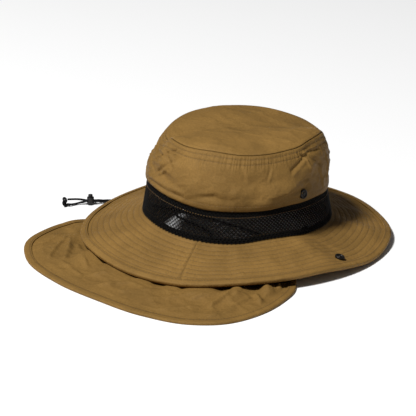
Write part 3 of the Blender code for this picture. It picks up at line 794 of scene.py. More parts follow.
def stitches_along(path, up, closed):
    """Corners and faces of one row of stitches, each a short thread that dips into the cloth."""
    places = even_places(path, STITCH_PITCH, closed)
    middle, normal = read_path(path, places, closed), unit(read_path(up, places, closed))
    step = 0.25
    along = unit(read_path(path, places + step, closed) - read_path(path, places - step, closed))
    side = np.cross(normal, along)
    turns = np.radians([45, 135, 225, 315])
    corners = []
    for share, girth, lift in STITCH_RINGS:
        centre = middle + along * (share * STITCH_LENGTH) + normal * (lift * STITCH_WIDTH / 2)
        if girth == 0:
            corners.append(centre[:, None])
            continue
        spokes = [side * math.cos(turn) + normal * math.sin(turn) for turn in turns]
        ring = [centre + spoke * (girth * STITCH_WIDTH / 2) for spoke in spokes]
        corners.append(np.stack(ring, axis=1))
    block = np.concatenate(corners, axis=1)
    faces = []
    for i in range(4):
        j = (i + 1) % 4
        faces.append((0, 1 + j, 1 + i))
        faces.append((1 + i, 1 + j, 5 + j, 5 + i))
        faces.append((5 + i, 5 + j, 9 + j, 9 + i))
        faces.append((9 + i, 9 + j, 13))
    return block, faces


def stitched(name, rows, finish):
    """One piece of many rows of stitches: rows holds (path, up, closed)."""
    corners, faces, count = [], [], 0
    for path, up, closed in rows:
        block, pattern = stitches_along(path, up, closed)
        for stitch in range(len(block)):
            base = count + stitch * block.shape[1]
            faces += [tuple(base + k for k in face) for face in pattern]
        corners.append(block.reshape(-1, 3))
        count += block.shape[0] * block.shape[1]
    mesh = mesh_from(name, np.concatenate(corners) + HEAD, faces)
    return finish_piece(bpy.data.objects.new(name, mesh), finish)


def feed(tree, value, socket):
    """Sets a socket's value, or links it where the value is another node's output."""
    if hasattr(value, "is_linked"):
        tree.links.new(value, socket)
    else:
        socket.default_value = value


def node(tree, kind, **inputs):
    """Adds a shader node and sets its inputs by name, with underscores for a name's spaces."""
    made = tree.nodes.new("ShaderNode" + kind)
    for key, value in inputs.items():
        feed(tree, value, made.inputs[key.replace("_", " ")])
    return made


def math_node(tree, operation, *values):
    made = tree.nodes.new("ShaderNodeMath")
    made.operation = operation
    for socket, value in zip(made.inputs, values):
        feed(tree, value, socket)
    return made.outputs[0]


def mixed(tree, kind, factor, first, second):
    """Two colours mixed, multiplied or otherwise joined."""
    made = tree.nodes.new("ShaderNodeMix")
    made.data_type = "RGBA"
    made.blend_type = kind
    for socket, value in zip((0, 6, 7), (factor, first, second)):
        feed(tree, value, made.inputs[socket])
    return made.outputs[2]


def ramp(tree, value, stops):
    """Colour that goes from stop to stop, each a place and a colour, as a value rises."""
    made = tree.nodes.new("ShaderNodeValToRGB")
    feed(tree, value, made.inputs[0])
    elements = made.color_ramp.elements
    while len(elements) < len(stops):
        elements.new(0.5)
    for element, (place, colour) in zip(elements, stops):
        element.position = place
        element.color = (*colour, 1)
    return made.outputs[0]


def new_material(name, colour, roughness, metallic=0.0, specular=0.0, sheen=0.0):
    """Material, its node tree and the coordinates of its object."""
    made = bpy.data.materials.new(name)
    made.use_nodes = True
    tree = made.node_tree
    values = {
        "Base Color": (*colour, 1),
        "Roughness": roughness,
        "Metallic": metallic,
        "Specular IOR Level": specular,
        "Sheen Weight": sheen,
        "Sheen Roughness": 0.5,
    }
    for key, value in values.items():
        tree.nodes["Principled BSDF"].inputs[key].default_value = value
    return made, tree, node(tree, "TexCoord").outputs["Object"]


def wire(tree, **values):
    """Feeds the material's shader: a name's spaces are written as underscores."""
    for key, value in values.items():
        feed(tree, value, tree.nodes["Principled BSDF"].inputs[key.replace("_", " ")])


def shaded(colour, share):
    """A colour made darker or lighter."""
    return tuple(min(share * part, 1) for part in colour)


def noise_at(tree, coordinates, size, detail, roughness=0.5):
    """Noise with lumps of the given size in metres."""
    values = {"Vector": coordinates, "Scale": 1 / size, "Detail": detail, "Roughness": roughness}
    return node(tree, "TexNoise", **values).outputs[0]


def bump(tree, height, distance, strength=1.0, below=None):
    made = node(tree, "Bump", Height=height, Distance=distance, Strength=strength)
    if below is not None:
        feed(tree, below, made.inputs["Normal"])
    return made.outputs[0]


def wave_scale(pitch):
    """Scale of a wave texture whose bands lie a pitch apart."""
    return 2 * math.pi / 20 / pitch


def weave(tree, cloth, pitch):
    """Height of a plain weave: threads along u and along v that pass over each other."""
    wave = wave_scale(pitch)
    heights = []
    for direction in ("X", "Y"):
        made = node(tree, "TexWave", Vector=cloth, Scale=wave, Distortion=0.6, Detail=1.0)
        made.bands_direction = direction
        heights.append(made.outputs["Fac"])
    return math_node(tree, "MULTIPLY", *heights)


def nylon(name, colour, shade=1.0):
    """Washed nylon: plain weave, crumples and crinkles, uneven colour, darker in seams and painted
    shade.
    """
    base = shaded(colour, shade)
    made, tree, where = new_material(name, base, NYLON_ROUGHNESS, specular=0.12)
    cloth = node(tree, "UVMap").outputs[0]
    seam = tree.nodes.new("ShaderNodeAttribute")
    seam.attribute_name = "seam"
    broad = noise_at(tree, where, 0.035, 2.0)
    fine = noise_at(tree, where, 0.0016, 3.0, 0.7)
    threads = weave(tree, cloth, NYLON_THREAD)
    tone = ramp(tree, broad, [(0.3, shaded(base, 0.84)), (0.7, shaded(base, 1.12))])
    grain = ramp(tree, fine, [(0.25, (0.80, 0.80, 0.80)), (0.75, (1.14, 1.14, 1.14))])
    ribs = ramp(tree, threads, [(0.0, (0.86, 0.85, 0.83)), (0.6, (1.05, 1.05, 1.05))])
    for pattern in (grain, ribs):
        tone = mixed(tree, "MULTIPLY", 1.0, tone, pattern)
    # The seam attribute darkens the colour along seams and stitching, and as painted shade on the
    # crown's lower front and lower right.
    tone = mixed(tree, "MIX", seam.outputs["Fac"], tone, (*shaded(base, 0.42), 1))
    uneven = math_node(tree, "MULTIPLY_ADD", fine, 0.16, NYLON_ROUGHNESS - 0.08)
    surface = bump(tree, noise_at(tree, where, 0.011, 3.0, 0.6), 0.0018, 0.55)
    swell = noise_at(tree, where, 0.022, 2.0, 0.55)
    crinkle = math_node(tree, "ABSOLUTE", math_node(tree, "SUBTRACT", swell, 0.5))
    surface = bump(tree, crinkle, 0.007, 0.3, surface)
    surface = bump(tree, fine, 0.00018, 0.6, surface)
    surface = bump(tree, threads, 0.00012, 0.7, surface)
    wire(tree, Base_Color=tone, Roughness=uneven, Normal=surface)
    return made


def thread(name, colour):
    """Twisted sewing thread."""
    made, tree, where = new_material(name, colour, 0.6, specular=0.35, sheen=0.1)
    twist = node(tree, "TexWave", Vector=where, Scale=900.0, Distortion=2.0)
    twist.bands_direction = "DIAGONAL"
    wound = twist.outputs["Fac"]
    tone = ramp(tree, wound, [(0.0, shaded(colour, 0.6)), (0.7, colour)])
    wire(tree, Base_Color=tone, Normal=bump(tree, wound, 0.0001))
    return made


def black_yarn(name, colour, pitch, roughness=0.6, shine=0.16):
    """Spun polyester yarn, in a net, a braid or webbing."""
    made, tree, where = new_material(name, colour, roughness, specular=shine)
    wave = wave_scale(pitch)
    strands = node(tree, "TexWave", Vector=where, Scale=wave, Distortion=3.0, Detail=2.0)
    strands.bands_direction = "DIAGONAL"
    fuzz = noise_at(tree, where, 0.0006, 3.0, 0.7)
    both = math_node(tree, "MULTIPLY", strands.outputs["Fac"], fuzz)
    tone = ramp(tree, both, [(0.1, shaded(colour, 0.5)), (0.6, shaded(colour, 2.4))])
    uneven = math_node(tree, "MULTIPLY_ADD", fuzz, 0.25, roughness - 0.12)
    wire(tree, Base_Color=tone, Roughness=uneven, Normal=bump(tree, both, 0.00015, 0.8))
    return made


def moulded(name, colour, roughness, metallic=0.0):
    """Moulded plastic or lacquered metal, with fine grain and rubbed patches."""
    made, tree, where = new_material(name, colour, roughness, metallic, specular=0.28)
    grain = noise_at(tree, where, 0.0003, 2.0)
    patches = noise_at(tree, where, 0.0025, 3.0)
    tone = ramp(tree, patches, [(0.4, colour), (0.75, shaded(colour, 1.9))])
    uneven = math_node(tree, "MULTIPLY_ADD", patches, 0.3, roughness - 0.15)
    wire(tree, Base_Color=tone, Roughness=uneven, Normal=bump(tree, grain, 0.00003, 0.6))
    return made


def gathers(angle, period):
    """Pleats of uneven width round the hat: 1 on each ridge and 0 in each valley."""
    wander = 0.0
    for size, turns, start in PLEAT_WANDER:
        wander = wander + size * np.sin(np.radians(angle * turns + start))
    return np.abs(np.sin(math.pi * angle / period + wander))


def crease_end(along, size, width):
    """1 along a crease of a given length, falling off past its ends."""
    return bell(np.clip(np.abs(along - size / 2) - size / 2 + width, 0, None), 1.5 * width)


def crown_creases(angle, level):
    """Sharp folds of the crown's side, each along a line: a valley with a small ridge above it."""
    total = 0.0
    middle = (HEAD_HALF_LENGTH + HEAD_HALF_WIDTH) / 2
    for crease in CROWN_CREASES:
        across = np.radians(turned_by(angle, crease.angle)) * middle
        up = (level - crease.level) * CROWN_HEIGHT
        run = math.radians(crease.to_angle - crease.angle) * middle
        climb = (crease.to_level - crease.level) * CROWN_HEIGHT
        size = math.hypot(run, climb)
        along = (across * run + up * climb) / size
        aside = (up * run - across * climb) / size
        shape = bell(aside, crease.width)
        if crease.depth > 0:
            shape = shape - 0.6 * bell(aside - 1.6 * crease.width, crease.width)
        total = total - crease.depth * shape * crease_end(along, size, crease.width)
    return total


def crown_gathers(angle, below):
    """Pleats that hang from the tip's seam, longer and stronger in some places than in others."""
    ring = polar(angle, np.array([[0.09]]), 0.0)
    reach = np.maximum(0.0045 + 0.0045 * lumps(ring, 0.010, 2, 3.0), 0.002)
    fade = np.where(below > GATHER_ROW, bell(below - GATHER_ROW, reach), 0.75)
    strength = 0.35 + 0.65 * smooth_step(0.5 + 1.2 * lumps(ring, 0.05, 1, 7.0))
    strength = strength + 0.4 * bell(turned_by(angle, 134), 26)
    pleats = (gathers(angle, CROWN_PLEAT) - PLEAT_MEAN) * smooth_step((below - 0.0006) / 0.002)
    return GATHER_DEPTH * pleats * fade * strength


def crown_crumples(face, angle, height, below):
    """Lumps and creases of the side's free cloth, which is crushed most at its far left."""
    free = smooth_step((height - HEM_STRIP) / 0.006) * smooth_step((below - GATHER_ROW) / 0.008)
    crushed = bell(turned_by(angle, 52), 34) + 0.5 * bell(turned_by(angle, 200), 25)
    creases = ridges(face, (0.024, 0.024, 0.012), 4.0)
    creases = creases + 0.7 * ridges(face, (0.013, 0.013, 0.008), 9.0)
    soft = CROWN_LUMPS * lumps(face, (0.030, 0.030, 0.018), 2, 1.0)
    return free * (soft + creases * (CROWN_CREASE + CRUSHED_CREASE * crushed))


def crown_side_grid():
    """The crown's side, the darkness of its seams with painted shade at its lower front and lower
    right, and its rows of stitching.
    """
    angle = ring_angles(880)[None, :]
    marks = [HEM_STRIP / CROWN_HEIGHT, 1 - GATHER_ROW / CROWN_HEIGHT, 1 - SEAM_ROW / CROWN_HEIGHT]
    levels = dense_rows(38, marks, 0.0011 / CROWN_HEIGHT)
    level = levels[:, None]
    face = crown_side_point(angle, level)
    face = face + normals_of(face, True) * CROWN_WALL
    height, below = level * CROWN_HEIGHT, (1 - level) * CROWN_HEIGHT
    relief = 0.0003 * smooth_step((HEM_STRIP + 0.0004 - height) / 0.0008)
    relief = relief + 0.0004 * bell(height - HEM_STRIP - 0.0032, 0.0026)
    relief = relief - 0.0006 * bell(height, 0.0012)
    relief = relief + crown_gathers(angle, below) + crown_crumples(face, angle, height, below)
    front = bell(turned_by(angle, 146), 42)
    sag = bell(height - 0.016, 0.009) * smooth_step((height - 0.0012) / 0.005)
    relief = relief + front * (FRONT_SAG * sag - 0.0004 * bell(height, 0.004))
    relief = relief + crown_creases(angle, level)
    # Painted shade: the colour darkens along the foot of the front and low on the right side, where
    # the crown falls in shade.
    seam = 0.45 * front * bell(height, 0.0085)
    seam = seam + 0.28 * bell(turned_by(angle, 184), 26) * bell(height - 0.010, 0.014)
    for mark, depth in zip(marks, (0.0002, 0.0004, 0.0003)):
        line = bell((level - mark) * CROWN_HEIGHT, 0.0006)
        relief = relief - depth * line
        seam = np.maximum(seam, 0.35 * line)
    seam = np.maximum(seam, 0.15 * bell(below, 0.0005))
    # Dark line along the hem strip's upper edge: the strip's folded edge, and painted shade in the
    # crease above it.
    seam = np.maximum(seam, 0.25 * bell(height - HEM_STRIP - 0.0006, 0.0008))
    face = face + normals_of(face, True) * relief[..., None]
    return face, seam, [row_at(levels, mark) for mark in marks]


def crown_top_grid():
    """The crown's tip and the darkness of its seam."""
    angle = ring_angles(480)[None, :]
    inward = np.concatenate([np.linspace(0, 0.1, 9), np.linspace(0.12, 1, 42)[:-1], [0.995]])
    inward = inward[:, None]
    face = tip_point(angle, inward, tip_middle())
    face = face + normals_of(face, True) * CROWN_WALL
    rim = inward * 0.08
    free = smooth_step((rim - 0.002) / 0.008)
    creases = ridges(face, (0.045, 0.022, 0.03), 2.0)
    creases = creases + 0.6 * ridges(face, (0.018, 0.026, 0.03), 6.0)
    soft = TIP_LUMPS * lumps(face, (0.036, 0.026, 0.03), 2, 5.0)
    relief = 0.0004 * bell(rim - 0.0022, 0.0014) + free * (soft + TIP_CREASE * creases)
    seam = np.broadcast_to(0.1 * bell(rim, 0.0005), relief.shape)
    return face + normals_of(face, True) * relief[..., None], seam


def brim_grid():
    """The collar and the brim, with a shallow groove along each row of stitching."""
    angle = ring_angles(520)[None, :]
    marks = np.linspace(BRIM_FIRST_ROW, BRIM_WIDTH - BRIM_LAST_ROW, BRIM_ROWS) / BRIM_WIDTH
    shares = dense_rows(20, marks, 0.001 / BRIM_WIDTH)
    share = shares[:, None]
    face = brim_point(angle, share)
    up = normals_of(face, True, -1)
    inside = smooth_step((share - marks[0]) * 40) * smooth_step((marks[-1] - share) * 40)
    quilted = np.abs(np.sin(math.pi * (share - marks[0]) / (marks[1] - marks[0]))) * inside
    relief = QUILT_DEPTH * (quilted - 0.5 * inside)
    relief = relief + BRIM_PUCKER * (gathers(angle, BRIM_PLEAT) - PLEAT_MEAN) * quilted
    for wave in BRIM_WAVES:
        crest = bell(turned_by(angle, wave.angle + 3 * share), wave.wide)
        relief = relief + wave.depth * crest * smooth_step(share * 4)
    ripple = 0.0011 * np.sin(np.radians(angle * 9 + 40 * share)) * bell(turned_by(angle, 185), 40)
    ripple = ripple * smooth_step((1 - share) * 4)
    relief = relief + smooth_step(share * 6) * (BRIM_LUMPS * lumps(face, 0.034, 2, 8.0) + ripple)
    joint = turned_by(angle, BRIM_JOINT + 2.5 * share)
    relief = relief - JOINT_DEPTH * bell(joint, 0.5) + JOINT_DEPTH * bell(joint - 1.5, 1.0)
    seam = 0.8 * bell(joint, 0.45) * smooth_step(share * 20)
    for mark in marks:
        line = bell((share - mark) * BRIM_WIDTH, 0.0004)
        relief = relief - 0.00022 * line
        seam = np.maximum(seam, 0.28 * line)
    seam = np.maximum(seam, 0.6 * bell(share * BRIM_WIDTH, 0.0012))
    rises = np.array([COLLAR_HEIGHT, COLLAR_HEIGHT / 2])[:, None]
    collar = polar(angle, collar_radius(angle, rises), foot_height(angle) - GAP + rises)
    face = np.concatenate([collar, face + up * relief[..., None]])
    seam = np.concatenate([np.zeros((len(rises), seam.shape[1])), seam])
    return face, seam, [len(rises) + row_at(shares, mark) for mark in marks]


def folded_strip(lower, upper, outward, bulge):
    """Rows of a strip folded round an edge: lower and upper are the faces at its inner side and at
    the edge, and outward and bulge say how far its round nose stands past the edge."""
    (under_in, under_edge), (top_in, top_edge) = lower, upper
    rows = [under_in + (under_edge - under_in) * share for share in (0, 0.12, 0.25, 0.5, 0.8)]
    middle = (under_edge + top_edge) / 2
    half = (top_edge - under_edge) / 2
    for turn in np.radians([-60, -35, -12, 12, 35, 60]):
        rows.append(middle + half * math.sin(turn) + outward * (bulge * math.cos(turn)))
    rows += [top_edge + (top_in - top_edge) * share for share in (0.2, 0.5, 0.75, 0.88, 1)]
    return np.stack(rows)


def brim_edge_grid():
    """The binding round the brim's edge."""
    angle = ring_angles(720)
    inner = 1 - BINDING_WIDTH / BRIM_WIDTH
    low, high = BRIM_WALL + GAP + BINDING_WALL, GAP + BINDING_WALL
    edge, inside = brim_point(angle, 1.0), brim_point(angle, inner)
    up_edge, up_inside = brim_normal(angle, 1.0), brim_normal(angle, inner)
    lower = (inside - up_inside * low, edge - up_edge * low)
    upper = (inside + up_inside * high, edge + up_edge * high)
    return folded_strip(lower, upper, unit(edge - inside), high)


def strip_relief(grid, ring, angle, seam_rows):
    """Puckers along the strip's stitching, and the dark line of the stitching."""
    out = -normals_of(grid, ring)
    puckers = (gathers(angle, STRIP_PLEAT) - PLEAT_MEAN)[None, :]
    weight = np.zeros((len(grid), 1))
    weight[[-1, -2, -3, -4, -5], 0] = (0.9, 0.35, 0.5, 1.0, 0.6)
    weight[[0, 1, 2, 3], 0] = (0.6, 0.3, 0.5, 0.6)
    grid = grid + out * (STRIP_PUCKER * puckers * weight)[..., None]
    seam = np.zeros(grid.shape[:2])
    for row in seam_rows:
        grid[row] -= out[row] * 0.0002
        seam[row] = 0.4
    return grid, out, seam


def cape_grid():
    """The cape from the brim's collar down to the surface and out to its edge."""
    angle = cape_angle(np.linspace(0, 1, 420))[None, :]
    start = cape_start(angle)
    inner = lengths_of(start[..., :2]) + CAPE_FALL
    outer = cape_edge_radius(angle)
    field = 1 - (HEM_WIDTH + HEM_MARGIN) / (outer - inner)
    shares = np.concatenate([np.linspace(0, 1, 74)[:, None] * field, np.ones_like(field)])
    radius = inner + (outer - inner) * shares
    flat = polar(angle, radius, 0.0)
    inside = np.min(lengths_of(flat[:, :, None, :] - cape_edge()[None, None]), axis=-1)
    inside = np.minimum(inside, np.abs(outer - radius))
    clear = smooth_step((inside - HEM_WIDTH - HEM_MARGIN) / HEM_WIDTH)
    sides = np.minimum(angle - CAPE_FIRST_ANGLE, CAPE_LAST_ANGLE - angle)
    taper = clear * smooth_step(sides / 8) * smooth_step(shares * 8)
    past = radius - lengths_of(brim_point(angle, 1.0)[..., :2])
    waves = CAPE_LUMPS * (1 + lumps(flat, (0.045, 0.03, 0.03), 2, 11.0))
    waves = waves + 0.0009 * ridges(flat, (0.05, 0.026, 0.03), 3.0)
    waves = waves + 0.0006 * ridges(flat, 0.018, 13.0)
    waves = (waves + cape_creases(flat)) * smooth_step((past + 0.002) / 0.01)
    rise = (cape_fold(angle, shares) + cape_ruffles(angle, past) + waves) * taper
    room = cape_room(angle, radius)
    laid = polar(angle, radius, cape_rest(1 - clear) + room * np.tanh(rise / room))
    falls = np.array([0, 0.15, 0.3, 0.45, 0.62, 0.8])[:, None, None]
    fall = start[0] + (laid[0] - start[0]) * falls
    drop = (start[0, :, 2] - laid[0, :, 2]) * (1 - falls[..., 0]) ** 2
    fall[..., 2] = laid[0, :, 2] + drop
    return np.concatenate([fall, laid])


def cape_creases(flat):
    """Sharp folds of the cape where it lies, each along a line."""
    total = 0.0
    for crease in CAPE_CREASES:
        start, end = polar(crease.angle, crease.reach), polar(crease.to_angle, crease.to_reach)
        size = np.linalg.norm(end - start)
        run = (end - start) / size
        along = (flat - start) @ run
        aside = lengths_of(flat - start - along[..., None] * run)
        shape = bell(aside, crease.width) * crease_end(along, size, crease.width)
        total = total + crease.rise * shape
    return total


def cape_ruffles(angle, past):
    """Short ruffles where the cape comes out from under the brim's edge."""
    total = 0.0
    for ruffle in CAPE_RUFFLES:
        across = np.clip(1 - np.abs(angle - ruffle.angle) / ruffle.wide, 0, 1)
        total = total + ruffle.rise * across**1.5 * bell(past - ruffle.past, ruffle.reach)
    return total


def cape_edge_grid():
    """The hem along the cape's edge, and its angles round the hat."""
    share = np.linspace(0, 1, 560)
    angle = cape_angle(share)
    edge = polar(angle, cape_edge_radius(angle))
    run = np.gradient(edge, axis=0)
    outward = unit(points_of(run[:, 1], -run[:, 0], 0.0))
    inside, top = edge - outward * HEM_WIDTH, np.array([0, 0, cape_rest(1) + GAP + HEM_WALL])
    return folded_strip((inside, edge), (inside + top, edge + top), outward, GAP + HEM_WALL), angle


def band_point(angle, level, out):
    """Point of the band, a distance out of its inner face: past level 1 it is in the lap."""
    height = foot_height(angle) + np.minimum(level, 1) * band_height(angle)
    height = height + np.maximum(level - 1, 0) * BAND_HEIGHT
    return polar(angle, ellipse(angle, BAND_TAPER * level) + out, height)


def net_thread(steps, rows, half, middle, side):
    """Corners of one thread of the net, which swings to its neighbour on each side in turn."""
    swing = np.abs(steps % 2 - 1)
    angle = middle + half * (swing if side else 2 - swing)
    level = steps / rows * (1 + BAND_LAP / BAND_HEIGHT)
    over = np.cos(math.pi * steps) * NET_DEPTH * (0.32 if side else -0.32)
    path = band_point(angle, level, BAND_WALL / 2 + over)
    along = unit(np.gradient(path, axis=0))
    across = unit(np.cross(along, polar(angle, 1.0)))
    out = np.cross(across, along)
    ring = []
    for turn in np.radians([0, 90, 180, 270]):
        wide, deep = math.cos(turn) * NET_STRAND / 2, math.sin(turn) * NET_DEPTH / 2
        ring.append(path + across * wide + out * deep)
    return np.stack(ring, axis=1).reshape(-1, 3)


def net_threads():
    """Corners and faces of the band's net: zigzag threads that meet their neighbours."""
    girth = 2 * math.pi * math.sqrt((HEAD_HALF_LENGTH**2 + HEAD_HALF_WIDTH**2) / 2)
    count = round(girth / NET_PITCH)
    rows = round((BAND_HEIGHT + BAND_LAP) / (NET_PITCH / 2))
    steps = np.arange(2 * rows + 1) / 2
    half = 360 / count / 2
    pattern = grid_faces(len(steps), 4, True)
    last = 4 * len(steps) - 4
    pattern += [(3, 2, 1, 0), (last, last + 1, last + 2, last + 3)]
    corners, faces = [], []
    for thread_number in range(2 * count):
        cell, side = divmod(thread_number, 2)
        corners.append(net_thread(steps, rows, half, cell * 2 * half, side))
        faces += [tuple(thread_number * len(corners[0]) + k for k in face) for face in pattern]
    return np.concatenate(corners), faces


def band_line(drop, out):
    """Closed path round the band's middle face, a drop below the crown's cloth, and its normals."""
    angle = ring_angles(720)
    return band_point(angle, 1 - drop / BAND_HEIGHT, BAND_WALL / 2 + out), polar(angle, 1.0)


def band_fold_grid(low, high):
    """Second layer of the band's net, folded in behind it from one height to another."""
    level = np.linspace(low, high, 8)[:, None] / BAND_HEIGHT
    return band_point(ring_angles(360)[None, :], level, 0.0001)


def turned(name, profile, steps, ribs=0, depth=0.0):
    """Turned solid round Z from a profile of (radius, height), with shallow ribs up its side."""
    turns = 2 * math.pi * np.arange(steps) / steps
    radius, height = np.array(profile[1:-1]).T[..., None]
    ribbed = depth * (radius >= radius.max() * 0.98)
    girth = radius * (1 - ribbed * (0.5 - 0.5 * np.cos(ribs * turns)))
    rings = points_of(girth * np.cos(turns), girth * np.sin(turns), height).reshape(-1, 3)
    corners = np.concatenate([rings, [(0, 0, profile[0][1]), (0, 0, profile[-1][1])]])
    faces = grid_faces(len(profile) - 2, steps, True)
    first, last = len(rings), len(rings) + 1
    top = (len(profile) - 3) * steps
    for i in range(steps):
        j = (i + 1) % steps
        faces += [(first, j, i), (last, top + i, top + j)]
    return bpy.data.objects.new(name, mesh_from(name, corners, faces))


def arc_profile(middle_radius, middle_height, radius, first, last, steps=4):
    turns = np.radians(np.linspace(first, last, steps))
    arc = points_of(middle_radius + radius * np.cos(turns), middle_height + radius * np.sin(turns))
    return arc.tolist()


def make_snaps(finish):
    """Press studs: a rolled rim round a shallow dish with a small boss in it."""
    radius, height = SNAP_RADIUS, SNAP_HEIGHT
    roll = 0.2 * radius
    profile = [(0, 0), (0.2 * radius, 0), (0.98 * radius, 0), (radius, 0.25 * height)]
    profile += arc_profile(radius - roll, height - roll, roll, 0, 150, 6)
    profile += [(share * radius, rise * height) for share, rise in SNAP_DISH]
    level = CROWN_SNAP_RISE / CROWN_HEIGHT
    share = 1 - BRIM_SNAP_INSET / BRIM_WIDTH
    for side, angle in SNAP_ANGLES.items():
        normal = crown_normal(angle, level)
        seat = normal * (CROWN_WALL + SNAP_RADIUS**2 / HEAD_HALF_WIDTH)
        places = {
            "crown": (crown_side_point(angle, level) + seat, normal),
            "brim": (brim_point(angle, share), brim_normal(angle, share)),
        }
        for part, (place, up) in places.items():
            obj = turned(f"{part}_press_stud_{side}", profile, 40)
            facing = Vector(up).to_track_quat("Z", "X").to_matrix().to_4x4()
            obj.data.transform(Matrix.Translation(Vector(place + up * GAP + HEAD)) @ facing)
            finish_piece(obj, finish, [f"{part}_snap_{side}"])


def tab_middle(side):
    """Middle of the lower end of a tab, inside the collar."""
    angle = TAB_ANGLES[side]
    radius = collar_radius(angle, COLLAR_HEIGHT) - BRIM_WALL - GAP - TAB_WALL / 2
    return polar(angle, radius, foot_height(angle) - TAB_DROP)


def make_tabs(finish):
    """Ribbed webbing that carries each end of the chin cord."""
    width = np.linspace(-TAB_WIDTH / 2, TAB_WIDTH / 2, 33)[None, :]
    rise = np.linspace(0, TAB_DROP + COLLAR_HEIGHT, 40)[:, None]
    (rib, rib_depth), (pick, pick_depth) = TAB_RIBS.values()
    ribs = rib_depth * np.abs(np.sin(math.pi * width / rib))
    ribs = ribs + pick_depth * np.sin(2 * math.pi * rise / pick)
    grid = points_of(TAB_WALL / 2 - rib_depth - pick_depth + ribs, width, rise)
    for side, angle in TAB_ANGLES.items():
        obj = cloth_sheet(f"cord_webbing_{side}", grid - HEAD, False, TAB_WALL - 0.0002)
        foot = Vector(tab_middle(side) + HEAD)
        obj.data.transform(Matrix.Translation(foot) @ Matrix.Rotation(math.radians(angle), 4, "Z"))
        finish_piece(obj, finish, [f"cord_tab_{side}"])


def lock_point(along, aside, height):
    """Point beside the lock: along its heading, to the right of it and above the surface."""
    heading = math.radians(LOCK_HEADING)
    x = LOCK_PLACE[0] + along * math.cos(heading) + aside * math.sin(heading)
    y = LOCK_PLACE[1] + along * math.sin(heading) - aside * math.cos(heading)
    return points_of(x, y, height)


def knot_middle():
    """Middle of the knot, which stands on two of its three lobes, 33/16 of its scale below."""
    return lock_point(KNOT_REACH, KNOT_SIDE, KNOT_SCALE * 33 / 16 + CORD_DIAMETER / 2 + GAP / 2)


def knot_entry(side):
    aside, up = KNOT_ENTRIES[side]
    back = KNOT_SCALE + CORD_DIAMETER / 2 + GAP
    return lock_point(KNOT_REACH - back, KNOT_SIDE + aside, knot_middle()[2] + up)


def cord_route(side):
    """Listed points from the tab to the knot."""
    start = tab_middle(side) - np.array([0, 0, GAP])
    route = [start] + [np.array(point) for point in CORD_RUNS[side]]
    route += [lock_point(*point) for point in CORD_ENDS[side]]
    return np.array(route + [knot_entry(side)])


def resample(points, count):
    """Even points along a smooth curve through the given ones."""
    walked = walk(points)
    fine = np.linspace(0, walked[-1], 30 * len(points))
    curve = points_of(*(curve_through(walked, column, fine) for column in points.T))
    lengths = walk(curve)
    even = np.linspace(0, lengths[-1], count)
    return interpolated(even, lengths, curve), lengths[-1]


def braided_tube(name, path, closed=False):
    """Tube along a path whose skin is braided: strands wind both ways and pass over each other."""
    along = unit(tangents(path, closed, 0))
    frame_side = np.zeros_like(path)
    frame_side[0] = unit(np.cross(along[0], (0.0, 0.3, 1.0)))
    for i in range(1, len(path)):
        carried = frame_side[i - 1] - along[i] * np.dot(frame_side[i - 1], along[i])
        frame_side[i] = unit(carried)
    frame_up = np.cross(along, frame_side)
    step = lengths_of(np.diff(path, axis=0)).mean()
    travel = (np.arange(len(path)) * step)[:, None]
    turn = (2 * math.pi * np.arange(BRAID_SIDES) / BRAID_SIDES)[None, :]
    left = np.sin(BRAID_STRANDS * turn + 2 * math.pi * travel * BRAID_STRANDS / BRAID_PITCH)
    right = np.sin(BRAID_STRANDS * turn - 2 * math.pi * travel * BRAID_STRANDS / BRAID_PITCH)
    girth = CORD_DIAMETER / 2 * (1 - BRAID_DEPTH + BRAID_DEPTH * left * right)
    turn = turn[..., None]
    spokes = np.cos(turn) * frame_side[:, None] + np.sin(turn) * frame_up[:, None]
    rings = path[:, None] + spokes * girth[..., None]
    faces = grid_faces(len(path), BRAID_SIDES, True, closed=closed)
    if not closed:
        faces.append(tuple(range(BRAID_SIDES))[::-1])
        faces.append(tuple(range((len(path) - 1) * BRAID_SIDES, len(path) * BRAID_SIDES)))
    return bpy.data.objects.new(name, mesh_from(name, (rings + HEAD).reshape(-1, 3), faces))


def knot_path(count):
    turn = 2 * math.pi * np.arange(count) / count
    aside = np.sin(turn) + 2 * np.sin(2 * turn)
    up = 2 * np.cos(2 * turn) - np.cos(turn)
    along = -np.sin(3 * turn)
    height = knot_middle()[2] + KNOT_SCALE * up
    return lock_point(KNOT_REACH + KNOT_SCALE * along, KNOT_SIDE + KNOT_SCALE * aside, height)


def make_lock(finish):
    """Barrel with grip ribs and a cross slot that the cords pass through."""
    roll = 0.0007
    profile = [(0, 0), (0.5 * LOCK_RADIUS, 0)] + arc_profile(LOCK_RADIUS - roll, roll, roll, -90, 0)
    profile += [(LOCK_RADIUS, share * LOCK_HEIGHT) for share in (0.2, 0.35, 0.5, 0.65, 0.8)]
    profile += arc_profile(LOCK_RADIUS - roll, LOCK_HEIGHT - roll, roll, 0, 90)
    bore = BUTTON_RADIUS + BUTTON_CLEARANCE
    profile += [(bore, LOCK_HEIGHT), (bore, bore_floor()), (0, bore_floor())]
    obj = turned("cord_lock_barrel", profile, 72, ribs=12, depth=0.05)
    width, height = hole_size()
    bpy.ops.mesh.primitive_cube_add(size=1)
    slot = bpy.context.object
    slot.data.transform(Matrix.Diagonal((4 * LOCK_RADIUS, width, height, 1)))
    slot.data.transform(Matrix.Translation((0, 0, LOCK_HOLE_HEIGHT)))
    boolean = obj.modifiers.new("Slot", "BOOLEAN")
    boolean.object = slot
    bpy.context.scene.collection.objects.link(obj)
    bpy.context.view_layer.update()
    seen = obj.evaluated_get(bpy.context.evaluated_depsgraph_get())
    cut = bpy.data.meshes.new_from_object(seen)
    bpy.data.objects.remove(slot, do_unlink=True)
    bpy.data.objects.remove(obj, do_unlink=True)
    cut.name = "cord_lock_barrel"
    cut.set_sharp_from_angle(angle=math.radians(40))
    barrel = bpy.data.objects.new("cord_lock_barrel", cut)
    place = Matrix.Translation(Vector(lock_point(0, 0, GAP / 2) + HEAD))
    cut.transform(place @ Matrix.Rotation(math.radians(LOCK_HEADING), 4, "Z"))
    return finish_piece(barrel, finish, ["cord_lock"])


